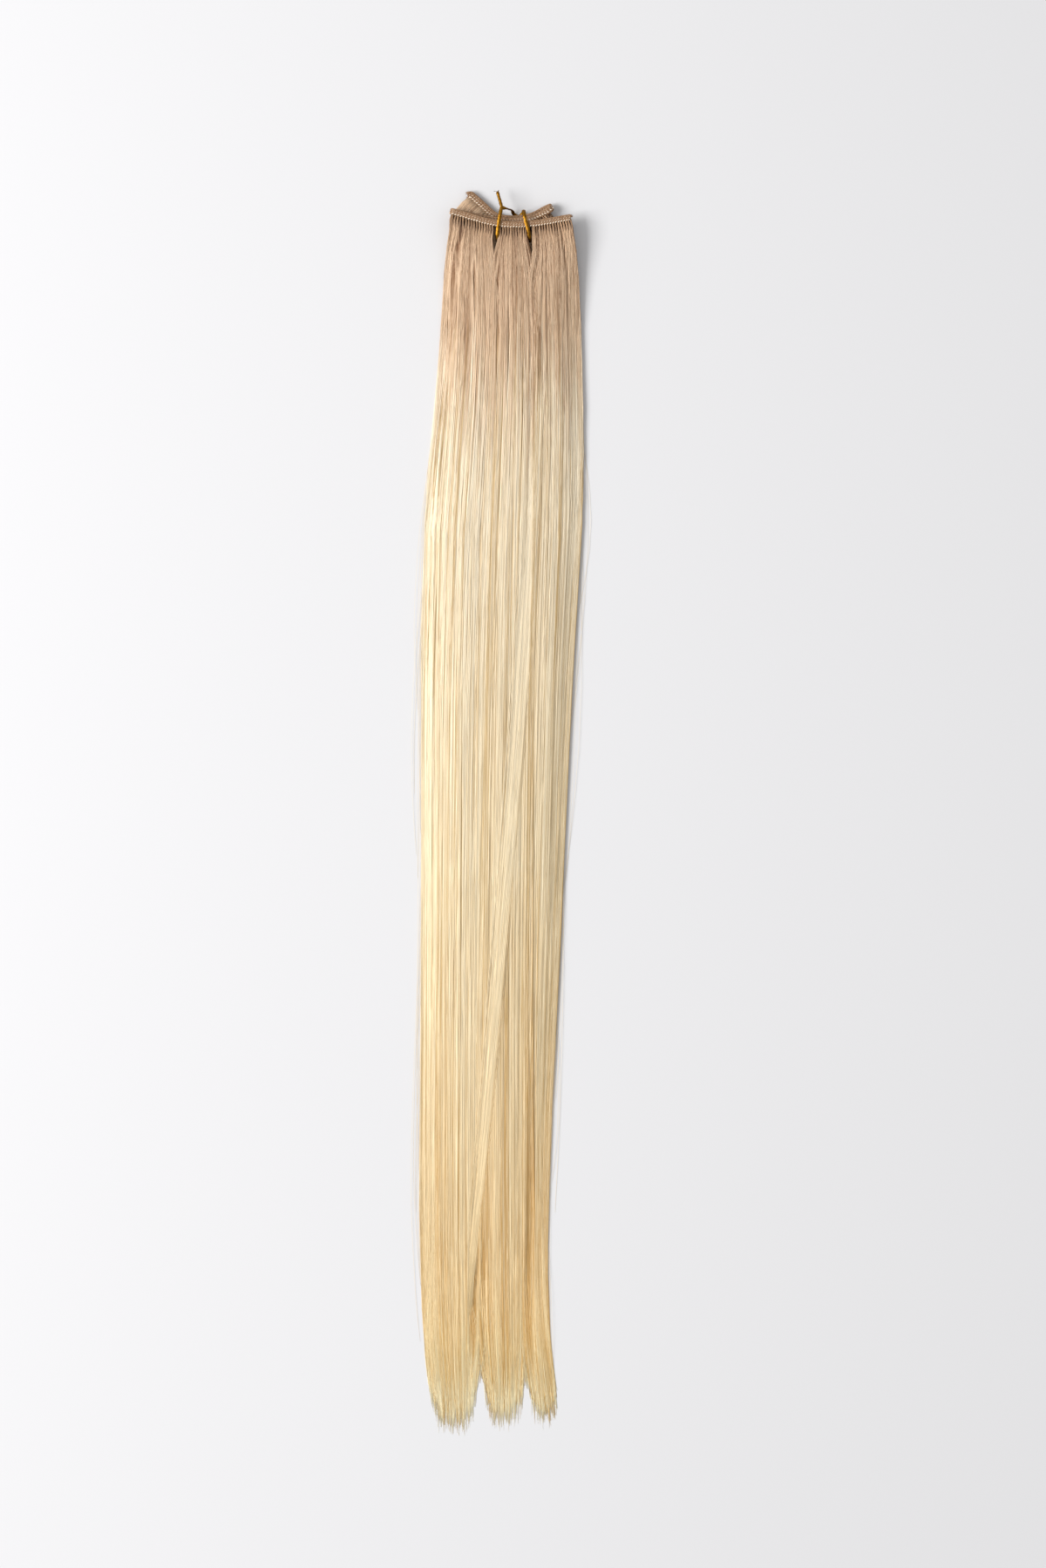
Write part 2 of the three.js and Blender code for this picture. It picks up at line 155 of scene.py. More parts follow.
class HairForm:
    """Long edges and heights of one CAD solid of hair, measured at levels along it."""

    RAY_START = 1.0
    EDGE_INSET = 0.02
    END_INSET = 0.3 * MM

    def __init__(self, node, first):
        triangles = node_triangles(node)
        tree = tree_of(triangles)
        self.first = first
        self.end = triangles[..., ALONG].min() + self.END_INSET
        self.left = np.empty(LEVELS)
        self.right = np.empty(LEVELS)
        self.low = np.empty((LEVELS, COLUMNS))
        self.high = np.empty((LEVELS, COLUMNS))
        shares = np.linspace(self.EDGE_INSET, 1 - self.EDGE_INSET, COLUMNS)
        for row, y in enumerate(np.linspace(self.first, self.end, LEVELS)):
            cut = cut_points(triangles, ALONG, y)[:, ACROSS]
            self.left[row] = cut.min()
            self.right[row] = cut.max()
            xs = cut.min() + shares * (cut.max() - cut.min())
            self.high[row] = self.heights(tree, xs, y, self.RAY_START)
            self.low[row] = self.heights(tree, xs, y, -self.RAY_START)

    @staticmethod
    def heights(tree, xs, y, start):
        """Where rays from a height meet the solid. One through the tie's opening takes its neighbours'."""
        down = Vector((0, 0, -start))
        hits = [tree.ray_cast(Vector((x, y, start)), down)[0] for x in xs]
        met = [column for column, hit in enumerate(hits) if hit is not None]
        return np.interp(range(len(xs)), met, [hits[column].z for column in met])

    def level_of(self, y):
        """Row above each y and the share of the way to the next row."""
        at = np.clip((self.first - y) / (self.first - self.end), 0, 1) * (LEVELS - 1)
        row = np.minimum(at.astype(int), LEVELS - 2)
        return row, at - row

    def x(self, share, y):
        """Place across, from 0 at the left edge to 1 at the right edge."""
        row, rest = self.level_of(np.asarray(y))
        left = self.left[row] + rest * (self.left[row + 1] - self.left[row])
        right = self.right[row] + rest * (self.right[row + 1] - self.right[row])
        return left + share * (right - left)

    def width(self, y):
        return self.x(1, y) - self.x(0, y)

    def z(self, share, depth, y):
        """Height, from 0 at the underside to 1 at the top."""
        row, rest = self.level_of(y)
        at = np.clip((share - self.EDGE_INSET) / (1 - 2 * self.EDGE_INSET), 0, 1) * (COLUMNS - 1)
        column = np.minimum(at.astype(int), COLUMNS - 2)
        part = at - column
        low, high = (self.between(table, row, rest, column, part) for table in (self.low, self.high))
        return low + depth * (high - low)

    @staticmethod
    def between(table, row, rest, column, part):
        """A table's value between two rows and two columns."""
        upper = table[row, column] + part * (table[row, column + 1] - table[row, column])
        lower = table[row + 1, column] + part * (table[row + 1, column + 1] - table[row + 1, column])
        return upper + rest * (lower - upper)


def srgb(red, green, blue):
    """A colour as 0 to 255 on a screen, in the linear values that shaders take."""
    screen = np.array([red, green, blue]) / 255
    linear = np.where(screen <= 0.04045, screen / 12.92, ((screen + 0.055) / 1.055) ** 2.4)
    return (*linear, 1.0)


class NodeMaterial:
    """A material with a Principled shader, and short ways to add and link nodes."""

    def __init__(self, name, **inputs):
        self.material = bpy.data.materials.new(name)
        self.material.use_nodes = True
        self.tree = self.material.node_tree
        self.shader = self.tree.nodes["Principled BSDF"]
        for socket, value in inputs.items():
            self.shader.inputs[socket.replace("_", " ")].default_value = value

    def add(self, kind, **settings):
        node = self.tree.nodes.new(kind)
        for setting, value in settings.items():
            setattr(node, setting, value)
        return node

    def link(self, output, target):
        self.tree.links.new(output, target)

    def attribute(self, name):
        return self.add("ShaderNodeAttribute", attribute_name=name).outputs["Fac"]

    def noise(self, scale, detail):
        node = self.add("ShaderNodeTexNoise")
        node.inputs["Scale"].default_value = scale
        node.inputs["Detail"].default_value = detail
        self.link(self.add("ShaderNodeTexCoord").outputs["Object"], node.inputs["Vector"])
        return node.outputs["Fac"]

    def ramp(self, source, stops):
        """Colour from a number, by stops of a place and a screen colour."""
        node = self.add("ShaderNodeValToRGB")
        elements = node.color_ramp.elements
        while len(elements) < len(stops):
            elements.new(0.5)
        for element, (place, colour) in zip(elements, stops):
            element.position = place
            element.color = srgb(*colour)
        self.link(source, node.inputs["Fac"])
        return node.outputs["Color"]

    def mix(self, factor, first, second):
        """Two colours mixed by a number."""
        node = self.add("ShaderNodeMix", data_type="RGBA")
        self.link(factor, node.inputs["Factor"])
        for socket, source in (("A", first), ("B", second)):
            self.link(source, [s for s in node.inputs if s.name == socket and s.type == "RGBA"][0])
        return [s for s in node.outputs if s.type == "RGBA"][0]

    def colour(self, source):
        self.link(source, self.shader.inputs["Base Color"])

    def bump(self, height, strength, distance):
        node = self.add("ShaderNodeBump")
        node.inputs["Strength"].default_value = strength
        node.inputs["Distance"].default_value = distance
        self.link(height, node.inputs["Height"])
        self.link(node.outputs["Normal"], self.shader.inputs["Normal"])


# Colours down the hair: the share of its length from the root, the darkest strands and the lightest
# painted shade in hollows, root gaps and valleys mixes strands towards the darkest colours
HAIR_COLOURS = (
    (0.0, (62, 36, 20), (190, 150, 114)),
    (0.012, (112, 76, 50), (216, 182, 148)),
    (0.03, (148, 108, 76), (228, 198, 166)),
    (0.11, (166, 128, 92), (232, 204, 171)),
    (0.17, (206, 177, 130), (251, 238, 213)),
    (0.55, (203, 173, 120), (251, 235, 201)),
    (0.9, (196, 152, 86), (243, 219, 172)),
    (0.965, (210, 164, 92), (249, 228, 178)),
    (1.0, (248, 212, 138), (255, 252, 224)),
)


def hair_material():
    made = NodeMaterial("blonde_hair", Roughness=0.42, Specular_IOR_Level=0.25)
    along = made.attribute("along")
    dark = made.ramp(along, [(place, darkest) for place, darkest, _ in HAIR_COLOURS])
    light = made.ramp(along, [(place, lightest) for place, _, lightest in HAIR_COLOURS])
    made.colour(made.mix(made.attribute("shade"), dark, light))
    return made.material


def seam_material():
    """Sewn roots, mottled, with painted shade that makes them brown in the hollows and painted light tan on
    the ridges.
    """
    made = NodeMaterial("sewn_band", Roughness=0.65, Specular_IOR_Level=0.25)
    # each mottled ramp runs from painted shade in the hollows to painted light on the ridges
    darker = ((0.0, (58, 34, 20)), (0.5, (110, 77, 51)), (1.0, (168, 132, 98)))
    lighter = ((0.0, (84, 54, 36)), (0.5, (136, 100, 70)), (1.0, (191, 156, 120)))
    height = made.attribute("ridge_shading")
    texture = made.noise(scale=1500, detail=3)
    made.colour(made.mix(texture, made.ramp(height, darker), made.ramp(height, lighter)))
    made.bump(texture, strength=0.4, distance=0.15 * MM)
    return made.material


def thread_material():
    """Sewing thread, from tan to cream by its tone."""
    made = NodeMaterial("pale_thread", Roughness=0.55, Specular_IOR_Level=0.35)
    texture = made.noise(scale=2600, detail=2)
    tan = made.ramp(texture, ((0.3, (176, 140, 108)), (0.7, (206, 172, 140))))
    cream = made.ramp(texture, ((0.3, (228, 206, 180)), (0.7, (248, 236, 218))))
    made.colour(made.mix(made.attribute("tone"), tan, cream))
    made.bump(texture, strength=0.3, distance=0.08 * MM)
    return made.material


def gold_material():
    made = NodeMaterial("gold_foil", Metallic=1.0, Roughness=0.44)
    texture = made.noise(scale=900, detail=3)
    made.colour(made.ramp(texture, ((0.35, (104, 68, 14)), (0.65, (158, 112, 36)))))
    made.bump(texture, strength=0.2, distance=0.1 * MM)
    return made.material


def wire_material():
    made = NodeMaterial("bare_wire", Metallic=1.0, Roughness=0.4)
    texture = made.noise(scale=1200, detail=2)
    made.colour(made.ramp(texture, ((0.3, (128, 122, 116)), (0.7, (176, 170, 162)))))
    return made.material


def floor_material():
    made = NodeMaterial("pale_floor", Roughness=0.85, Specular_IOR_Level=0.1)
    made.shader.inputs["Base Color"].default_value = (0.7, 0.696, 0.706, 1)
    return made.material


def mesh_object(name, points, faces, material, values, uv, slot, node=None):
    """A smooth piece from points and groups of faces, with point attributes and a map for the bake."""
    mesh = bpy.data.meshes.new(name)
    sizes = np.concatenate([np.full(len(group), group.shape[1]) for group in faces])
    corners = np.concatenate([group.reshape(-1) for group in faces])
    starts = np.cumsum(sizes) - sizes
    mesh.vertices.add(len(points))
    mesh.vertices.foreach_set("co", points.astype(np.float32).reshape(-1))
    mesh.loops.add(len(corners))
    mesh.loops.foreach_set("vertex_index", corners.astype(np.int32))
    mesh.polygons.add(len(sizes))
    mesh.polygons.foreach_set("loop_start", starts.astype(np.int32))
    mesh.polygons.foreach_set("loop_total", sizes.astype(np.int32))
    mesh.polygons.foreach_set("use_smooth", np.ones(len(sizes), bool))
    for label, numbers in values.items():
        mesh.attributes.new(label, "FLOAT", "POINT").data.foreach_set("value", numbers.astype(np.float32))
    layer = mesh.uv_layers.new(name="OFBake")
    layer.uv.foreach_set("vector", np.clip(uv, 0, 1)[corners].astype(np.float32).reshape(-1))
    mesh.update(calc_edges=True)
    mesh.validate()
    mesh.materials.append(material)
    made = bpy.data.objects.new(name, mesh)
    bpy.context.scene.collection.objects.link(made)
    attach(made, "root")
    if node is not None:
        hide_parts(node)


def tube_faces(count, rings, sides):
    """Faces of many equal tubes of rings of points: their walls, and a cap on each end."""
    tube = np.arange(count)[:, None, None] * rings * sides
    ring = np.arange(rings - 1)[None, :, None] * sides
    side = np.arange(sides)[None, None, :]
    here = tube + ring + side
    turned = tube + ring + (side + 1) % sides
    walls = np.stack([here, turned, turned + sides, here + sides], -1)
    start = tube[:, 0] + np.arange(sides)[::-1]
    end = tube[:, 0] + (rings - 1) * sides + np.arange(sides)
    return [walls.reshape(-1, 4), np.concatenate([start, end])]


def unit(vectors):
    return vectors / np.linalg.norm(vectors, axis=-1, keepdims=True)


def tube_points(paths, radii, sides):
    """Rings of points round paths of shape (tubes, rings, 3)."""
    tangents = unit(np.gradient(paths, axis=1))
    sideways = unit(np.cross(tangents, (0.0, 0.0, 1.0)))
    upward = np.cross(sideways, tangents)
    angles = np.arange(len(paths))[:, None, None] + 2 * np.pi * np.arange(sides) / sides
    spokes = np.cos(angles)[..., None] * sideways[:, :, None] + np.sin(angles)[..., None] * upward[:, :, None]
    return paths[:, :, None] + radii[..., None, None] * spokes


def two_faced(places):
    """Places across a flat section, there on one face and back on the other, and the face each is on."""
    ring = np.concatenate([places, places[-2:0:-1]])
    return ring, np.concatenate([np.ones(len(places)), -np.ones(len(places) - 2)])


def ribbon_points(path, facing, across, out):
    """Rings of points round one path: places across the ribbon and out of its face."""
    tangents = unit(np.gradient(path, axis=0))
    face = unit(facing - tangents * np.sum(facing * tangents, axis=1, keepdims=True))
    sideways = np.cross(tangents, face)
    return path[:, None] + across[..., None] * sideways[:, None] + out[..., None] * face[:, None]


def resampled(values, distance, at):
    """Rows of a table of vectors, at other distances."""
    return np.stack([np.interp(at, distance, values[:, axis]) for axis in range(3)], -1)


def distances(points):
    """Distance along a path at each of its points."""
    return np.concatenate([[0], np.cumsum(np.linalg.norm(np.diff(points, axis=0), axis=1))])


class Tubes:
    """Closed tubes gathered for one piece, in one mesh."""

    def __init__(self):
        self.points, self.walls, self.caps = [], [], []
        self.count = 0

    def add_tubes(self, paths, radii, sides):
        """Tubes along paths of shape (tubes, rings, 3), with a radius at each ring."""
        points = tube_points(paths, radii, sides)
        walls, caps = tube_faces(*paths.shape[:2], sides)
        self.points.append(points.reshape(-1, 3))
        self.walls.append(walls + self.count)
        self.caps.append(caps + self.count)
        self.count += points.size // 3

    def shape(self):
        return np.concatenate(self.points), [np.concatenate(self.walls), np.concatenate(self.caps)]


class Strands(Tubes):
    """Strands gathered for one piece, as thin tubes with a shade and a place down the colours of the hair."""

    BAKE_STEP = 0.004
    TAPER_FROM = 0.985
    SHADES = 0.02, 0.98
    ALONGS = 0.005, 0.985

    def __init__(self):
        super().__init__()
        self.shades, self.alongs = [], []

    def add(self, paths, shades, alongs, radius=STRAND_RADIUS, tip=0.6):
        """Strands with a shade and a colour place at each ring, and a tip that is a share of the radius."""
        count, rings = paths.shape[:2]
        narrowing = (1 - tip) * rise(np.linspace(0, 1, rings), self.TAPER_FROM, 1)
        self.add_tubes(paths, radius * (1 - narrowing) * np.ones((count, 1)), STRAND_SIDES)
        self.shades.append(np.repeat(np.clip(shades, *self.SHADES).reshape(-1), STRAND_SIDES))
        self.alongs.append(np.repeat(np.clip(alongs, *self.ALONGS).reshape(-1), STRAND_SIDES))

    def build(self, name, slot, node=None):
        shades, alongs = np.concatenate(self.shades), np.concatenate(self.alongs)
        corner = np.arange(self.count) % STRAND_SIDES
        uv = np.stack([shades + self.BAKE_STEP * (corner - 1), alongs + self.BAKE_STEP * (corner == 1)], 1)
        mesh_object(name, *self.shape(), hair, {"shade": shades, "along": alongs}, uv, slot, node)


# Slow waves down a strand: how many are added up, the spread of their sizes, and where they are in full
WAVES_ADDED = 2
WAVE_SIZES = 0.7
WAVES_FULL = 0.15


def waves(rng, count, turns, shares=RING_SHARES):
    """Slow random waves down strands, with a range of turns, 0 at the root: shape (count, rings)."""
    wave = np.zeros((count, len(shares)))
    for _ in range(WAVES_ADDED):
        turn = rng.uniform(*turns, (count, 1))
        phase = rng.uniform(0, 2 * np.pi, (count, 1))
        size = rng.normal(0, WAVE_SIZES, (count, 1))
        wave += size * np.sin(2 * np.pi * turn * shares + phase)
    return wave * smooth(shares / WAVES_FULL)


# How strands gather: in wisps a millimetre or so across, and wisps in bunches
STRANDS_IN_WISP = 6
WISP_SPREAD = 0.2 * MM
WISP_DEPTH = 0.1
BUNCH_WIDTH = 5.5 * MM
DEPTH_SPREAD = 1.6, 0.75
DEEPEST, HIGHEST = 0.02, 1.06
SHARES = 0.002, 0.998

# How far they sway to the sides on their way down, and in how many turns
BUNCH_SWAY, BUNCH_TURNS = 0.5 * MM, (0.3, 1.0)
WISP_SWAY, WISP_TURNS = 0.45 * MM, (0.6, 1.8)
STRAND_SWAY, STRAND_TURNS = 0.12 * MM, (1.5, 4.0)
LEAST_WIDTH = 6 * MM

# Drifts to one side, in full at a share of the length, and a part of them already at the roots
WISP_DRIFT = 0.9 * MM
STRAY_SHARE = 0.15
STRAY_DRIFT = 3 * MM
DRIFT_FULL = 0.6
ROOT_DRIFT, ROOT_DRIFT_FULL = 0.4, 0.1

# Frizz of the upper hair: its size, and the shares of the length between which it comes and goes
FRIZZ = 0.28 * MM
FRIZZ_FULL = 0.03
FRIZZ_CALMS = 0.14, 0.36

# Roots: the tufts that they leave the seam in, and how far down they come together
ROOT_TUCK = 0.15 * STRIP_WIDTH
ROOT_SPREAD = 0.42 * STRIP_THICKNESS
TUFT_PITCH = 1.3 * MM
TUFT_JITTER = 0.13 * MM
TUFT_REACH = 8 * MM
TUFT_DEPTH = 0.45
TUFTS_FROM_EDGE = 0.08
LYING_REACH = 20 * MM
SLANT_REACH = 1.6
LEAST_SLANT = 0.1 * MM
FLARE_REACH = 22 * MM

# Long edges of the hair: over what width they thin out, and by what share
EDGE_REACH = 9 * MM
LEFT_THINNING = 0.55
RIGHT_THINNING, RIGHT_LOWER_THINNING = 0.15, 0.35
RIGHT_LOWER = 60 * MM, 180 * MM

# Neighbouring locks run over each other between these distances down, and part again at the tips
OVERRUN = 3.2 * MM
OVERRUN_SIDE = 0.35
OVERRUN_MOST = 0.3
OVERRUN_BEGINS = 9 * MM, 42 * MM
PARTING = 545 * MM, 598 * MM
TURNED_BACK = 0.4

# Ends: most strands end close to the tips, and some are a good deal shorter
TIP_OVER = 2 * MM
TIP_RAGGED = 45 * MM
WISP_ENDS = 0.15
END_SOFTNESS = 0.5
TIP_ROUNDING = 14 * MM
UNDER_RAGGED = 100 * MM
SHORT_SHARE = 0.12
SHORT_MOST = 150 * MM
TIP_GATHER, TIP_GATHER_FROM = 0.15, 0.9
TIP_HOLD = 13 * MM
TIP_LOWERING = 0.92
TIP_LOWERS = 330 * MM, 588 * MM
LIFT, LIFT_TURNS = 0.05, (0.6, 2.0)
OPEN_SIDE_RISE = 0.12 * MM

# Tones: most strands are light and some wisps are darker lines; painted shade darkens hollows, root gaps
# and the lower right edge, and painted light brightens the upper right edge
LIGHT_TONE = 0.79
BUNCH_TONES, WISP_TONES, STRAND_TONES = 0.06, 0.22, 0.2
LOWER_CONTRAST = 0.7
DARKER, DARKER_SHARE = 0.6, 0.18
DEEP_PAINTED_SHADE = 0.95
DEEP_SHADE_FADES = 470 * MM, 565 * MM
GAP_PAINTED_SHADE = 1.3
GAP_SHADE_DEPTHS = 0.95, 0.4
ROOT_SHADE_REACH = 8 * MM
LEFT_SHADE_EASING, LEFT_SHADE_EASING_REACH = 0.8, 8 * MM
RIGHT_PAINTED_LIGHT, RIGHT_PAINTED_LIGHT_REACH = 0.25, 18 * MM
RIGHT_PAINTED_SHADE, RIGHT_SHADE_REACH = 0.36, 8 * MM
RIGHT_LIGHT_TO_SHADE = 90 * MM, 260 * MM

# Colour places: their spread, in full at a distance from the root, and how much further on a strand's end is
COLOUR_JITTER, COLOUR_JITTER_FULL = 0.022, 50 * MM
END_AHEAD, END_AHEAD_FROM = 0.1, 0.94


def tips_lowered(down):
    """The share of its height that the hair keeps: it lies flatter towards the tips."""
    return 1 - TIP_LOWERING * rise(down, *TIP_LOWERS)


@dataclass
class LockRoots:
    """Where a lock's roots are sewn in, a layer of the strip and a range across it, and how it differs.

    Open sides run over the next lock. Crowding gathers strands at the left, and flare spreads the left side
    near the roots. Gaps is how much the roots part into tufts and how much painted shade their gaps get,
    lighter how much lighter the lock is, ahead how much earlier its colours come, and ragged how much earlier
    than the tips strands may end.
    """

    layer: SeamLayer
    left: float
    right: float
    left_open: bool = False
    right_open: bool = False
    crowding: float = 1.0
    flare: float = 0.0
    gaps: float = 1.0
    lighter: float = 0.0
    ahead: float = 0.0
    ragged: float = TIP_RAGGED


class Lock:
    """The strands of one lock: in tufts at the seam, lying in the lock's form, and ragged at the tips."""

    def __init__(self, seed, count, form, roots):
        self.rng = rng = np.random.default_rng(seed)
        self.count, self.form, self.roots = count, form, roots
        self.wisps = count // STRANDS_IN_WISP
        self.width = form.width((form.first + form.end) / 2)
        self.bunches = max(2, round(self.width / BUNCH_WIDTH))
        self.wisp = rng.integers(0, self.wisps, count)
        places = (rng.permutation(self.wisps) + rng.uniform(0, 1, self.wisps)) / self.wisps
        self.wisp_share = (places ** roots.crowding)[self.wisp]
        self.bunch = np.minimum((self.wisp_share * self.bunches).astype(int), self.bunches - 1)
        self.share = np.clip(self.wisp_share + rng.normal(0, WISP_SPREAD / self.width, count), *SHARES)
        depth = rng.beta(*DEPTH_SPREAD, self.wisps)[self.wisp] + rng.normal(0, WISP_DEPTH, count)
        self.depth = np.clip(depth, DEEPEST, 1)
        self.root_x = roots.left + self.share * (roots.right - roots.left)
        self.root_y = roots.layer.lower_edge(self.root_x) + ROOT_TUCK
        self.y = self.root_y[:, None] - RING_SHARES * (self.root_y - self.ends())[:, None]
        self.fallen = self.root_y[:, None] - self.y
        self.down = SEAM_LINE - self.y
        self.level = np.minimum(self.y, form.first)
        self.edge_level = np.maximum(self.level, form.end + TIP_HOLD)

    def ends(self):
        """Where the strands end: wisps more or less together, and some strands a good deal earlier."""
        rng = self.rng
        together = WISP_ENDS * rng.uniform(0, 1, self.wisps)[self.wisp]
        alone = (1 - WISP_ENDS) * rng.uniform(0, 1, self.count) ** END_SOFTNESS
        short = self.roots.ragged * (together + alone)
        short += (rng.uniform(0, 1, self.count) < SHORT_SHARE) * rng.uniform(0, SHORT_MOST, self.count)
        return self.form.end - TIP_OVER + short + TIP_ROUNDING * (2 * self.share - 1) ** 4

    def swayed(self):
        """Shares across the lock down each strand, with sways, frizz, drifts and overruns."""
        rng = self.rng
        sway = BUNCH_SWAY * waves(rng, self.bunches, BUNCH_TURNS)[self.bunch]
        sway += WISP_SWAY * waves(rng, self.wisps, WISP_TURNS)[self.wisp]
        sway += STRAND_SWAY * waves(rng, self.count, STRAND_TURNS)
        frizz = rng.normal(0, 1, (self.wisps, len(RING_SHARES)))[self.wisp]
        frizz += rng.normal(0, 1, (self.count, len(RING_SHARES)))
        sway += FRIZZ * frizz * smooth(RING_SHARES / FRIZZ_FULL) * (1 - rise(RING_SHARES, *FRIZZ_CALMS))
        drift = WISP_DRIFT * rng.normal(0, 1, self.wisps)[self.wisp]
        drift += STRAY_DRIFT * rng.normal(0, 1, self.count) * (rng.uniform(0, 1, self.count) < STRAY_SHARE)
        drifted = smooth(RING_SHARES / DRIFT_FULL) - ROOT_DRIFT * smooth(RING_SHARES / ROOT_DRIFT_FULL)
        sway += drift[:, None] * drifted
        parted = rise(self.down, *PARTING)
        overrun = OVERRUN * rise(self.down, *OVERRUN_BEGINS) * (1 - parted)
        if self.roots.left_open:
            sway -= overrun * fade(self.share, OVERRUN_SIDE)[:, None]
        if self.roots.right_open:
            sway += overrun * fade(1 - self.share, OVERRUN_SIDE)[:, None]
        moved = self.share[:, None] + sway / np.maximum(self.form.width(self.edge_level), LEAST_WIDTH)
        moved = self.held_inside(moved, parted)
        return moved + TIP_GATHER * (self.wisp_share[:, None] - moved) * rise(RING_SHARES, TIP_GATHER_FROM, 1)

    def held_inside(self, share, parted):
        """Turns strands back at the lock's closed sides, and at all sides at the tips."""
        left_most = -OVERRUN_MOST * (1 - parted) * self.roots.left_open
        right_most = 1 + OVERRUN_MOST * (1 - parted) * self.roots.right_open
        share = np.where(share < left_most, left_most + TURNED_BACK * (left_most - share), share)
        share = np.where(share > right_most, right_most - TURNED_BACK * (share - right_most), share)
        return np.clip(share, left_most, right_most)

    def across(self, moved):
        """Places across: from the tufts at the roots to the lying lock."""
        root_x = self.root_x[:, None]
        slant = np.maximum(self.root_y - self.form.first, LEAST_SLANT)[:, None]
        lying = self.form.x(moved, self.edge_level)
        lying -= self.roots.flare * ((1 - self.share) ** 2)[:, None] * fade(self.fallen, FLARE_REACH)
        x = lying + (1 - np.clip(self.fallen / (SLANT_REACH * slant), 0, 1)) ** 3 * (root_x - lying)
        tuft = (np.floor(self.root_x / TUFT_PITCH) + 0.5) * TUFT_PITCH
        tuft += self.rng.normal(0, TUFT_JITTER, self.count)
        gathered = self.roots.gaps * (self.depth > TUFT_DEPTH) * (tuft - self.root_x)
        gathered *= smooth(self.share / TUFTS_FROM_EDGE)
        return x + gathered[:, None] * fade(self.fallen, TUFT_REACH)

    def heights(self, moved):
        """Heights: from the strip to the lying lock, which thins out at the long edges of the hair."""
        root_z = self.roots.layer.height + ROOT_SPREAD * (2 * self.depth - 1)
        lift = LIFT * waves(self.rng, self.wisps, LIFT_TURNS)[self.wisp]
        depth = np.clip(self.depth[:, None] + lift, 0, HIGHEST)
        held = np.clip(moved, 0, 1)
        open_side = np.where(moved < 0.5, self.roots.left_open, self.roots.right_open)
        lying = self.form.z(held, depth, self.level) + OPEN_SIDE_RISE * open_side * (2 * held - 1) ** 4
        left, right = self.edge_distances(moved)
        lower = rise(self.down, *RIGHT_LOWER)
        right_thinning = RIGHT_THINNING + (RIGHT_LOWER_THINNING - RIGHT_THINNING) * lower
        thinning = LEFT_THINNING * fade(left, EDGE_REACH) + right_thinning * fade(right, EDGE_REACH)
        lies = smooth(self.fallen / LYING_REACH)
        lying = lying * (1 - thinning * lies) * tips_lowered(self.down)
        return root_z[:, None] + lies * (lying - root_z[:, None])

    def edge_distances(self, moved):
        """How far the strands lie from the hair's left and right edges, where the lock reaches them."""
        width = self.form.width(self.edge_level)
        left = self.width if self.roots.left_open else moved * width
        right = self.width if self.roots.right_open else (1 - moved) * width
        return left, right

    def shades(self, moved):
        """Lightness down each strand, with painted shade lower in the lock, in the root gaps and at the right
        edge.
        """
        rng = self.rng
        tone = BUNCH_TONES * rng.normal(0, 1, self.bunches)[self.bunch]
        tone += WISP_TONES * rng.normal(0, 1, self.wisps)[self.wisp]
        tone += STRAND_TONES * rng.normal(0, 1, self.count)
        tone -= DARKER * (rng.uniform(0, 1, self.wisps) < DARKER_SHARE)[self.wisp]
        contrast = 1 + LOWER_CONTRAST * (1 - tips_lowered(self.down))
        tone = LIGHT_TONE + self.roots.lighter + contrast * tone[:, None]
        left, right = self.edge_distances(moved)
        # painted shade: strands lower in the lock are darker, for the shadow of the strands over them; less
        # near the tips and at the left edge
        deep_shade = (DEEP_PAINTED_SHADE * (1 - self.depth))[:, None] * (1 - rise(self.down, *DEEP_SHADE_FADES))
        deep_shade = deep_shade * (1 - LEFT_SHADE_EASING * fade(left, LEFT_SHADE_EASING_REACH))
        # painted shade in the gaps between the root tufts, just below the seam
        shaded_gap = self.roots.gaps * rise(self.depth, *GAP_SHADE_DEPTHS)[:, None]
        gap_shade = GAP_PAINTED_SHADE * shaded_gap * fade(self.fallen, ROOT_SHADE_REACH)
        # painted shade along the lower right edge, which slopes away from the key light, and painted light
        # along its upper part
        lower = rise(self.down, *RIGHT_LIGHT_TO_SHADE)
        darker = RIGHT_PAINTED_SHADE * fade(right, RIGHT_SHADE_REACH) * lower
        lighter = RIGHT_PAINTED_LIGHT * fade(right, RIGHT_PAINTED_LIGHT_REACH) * (1 - lower)
        return tone - deep_shade - gap_shade - darker + lighter

    def colour_places(self):
        """Places down the colours of the hair, uneven from strand to strand, and further on at each end."""
        rng = self.rng
        jitter = rng.normal(0, COLOUR_JITTER, self.wisps)[self.wisp]
        jitter += rng.normal(0, COLOUR_JITTER, self.count)
        place = self.fallen / FULL_LENGTH + jitter[:, None] * smooth(self.fallen / COLOUR_JITTER_FULL)
        return place + self.roots.ahead + END_AHEAD * rise(RING_SHARES, END_AHEAD_FROM, 1)

    def grow(self, strands):
        moved = self.swayed()
        x, z, shade = combed(self.across(moved), self.heights(moved), self.shades(moved), self.down)
        strands.add(np.stack([x, self.y, np.maximum(z, STRAND_RADIUS)], 2), shade, self.colour_places())


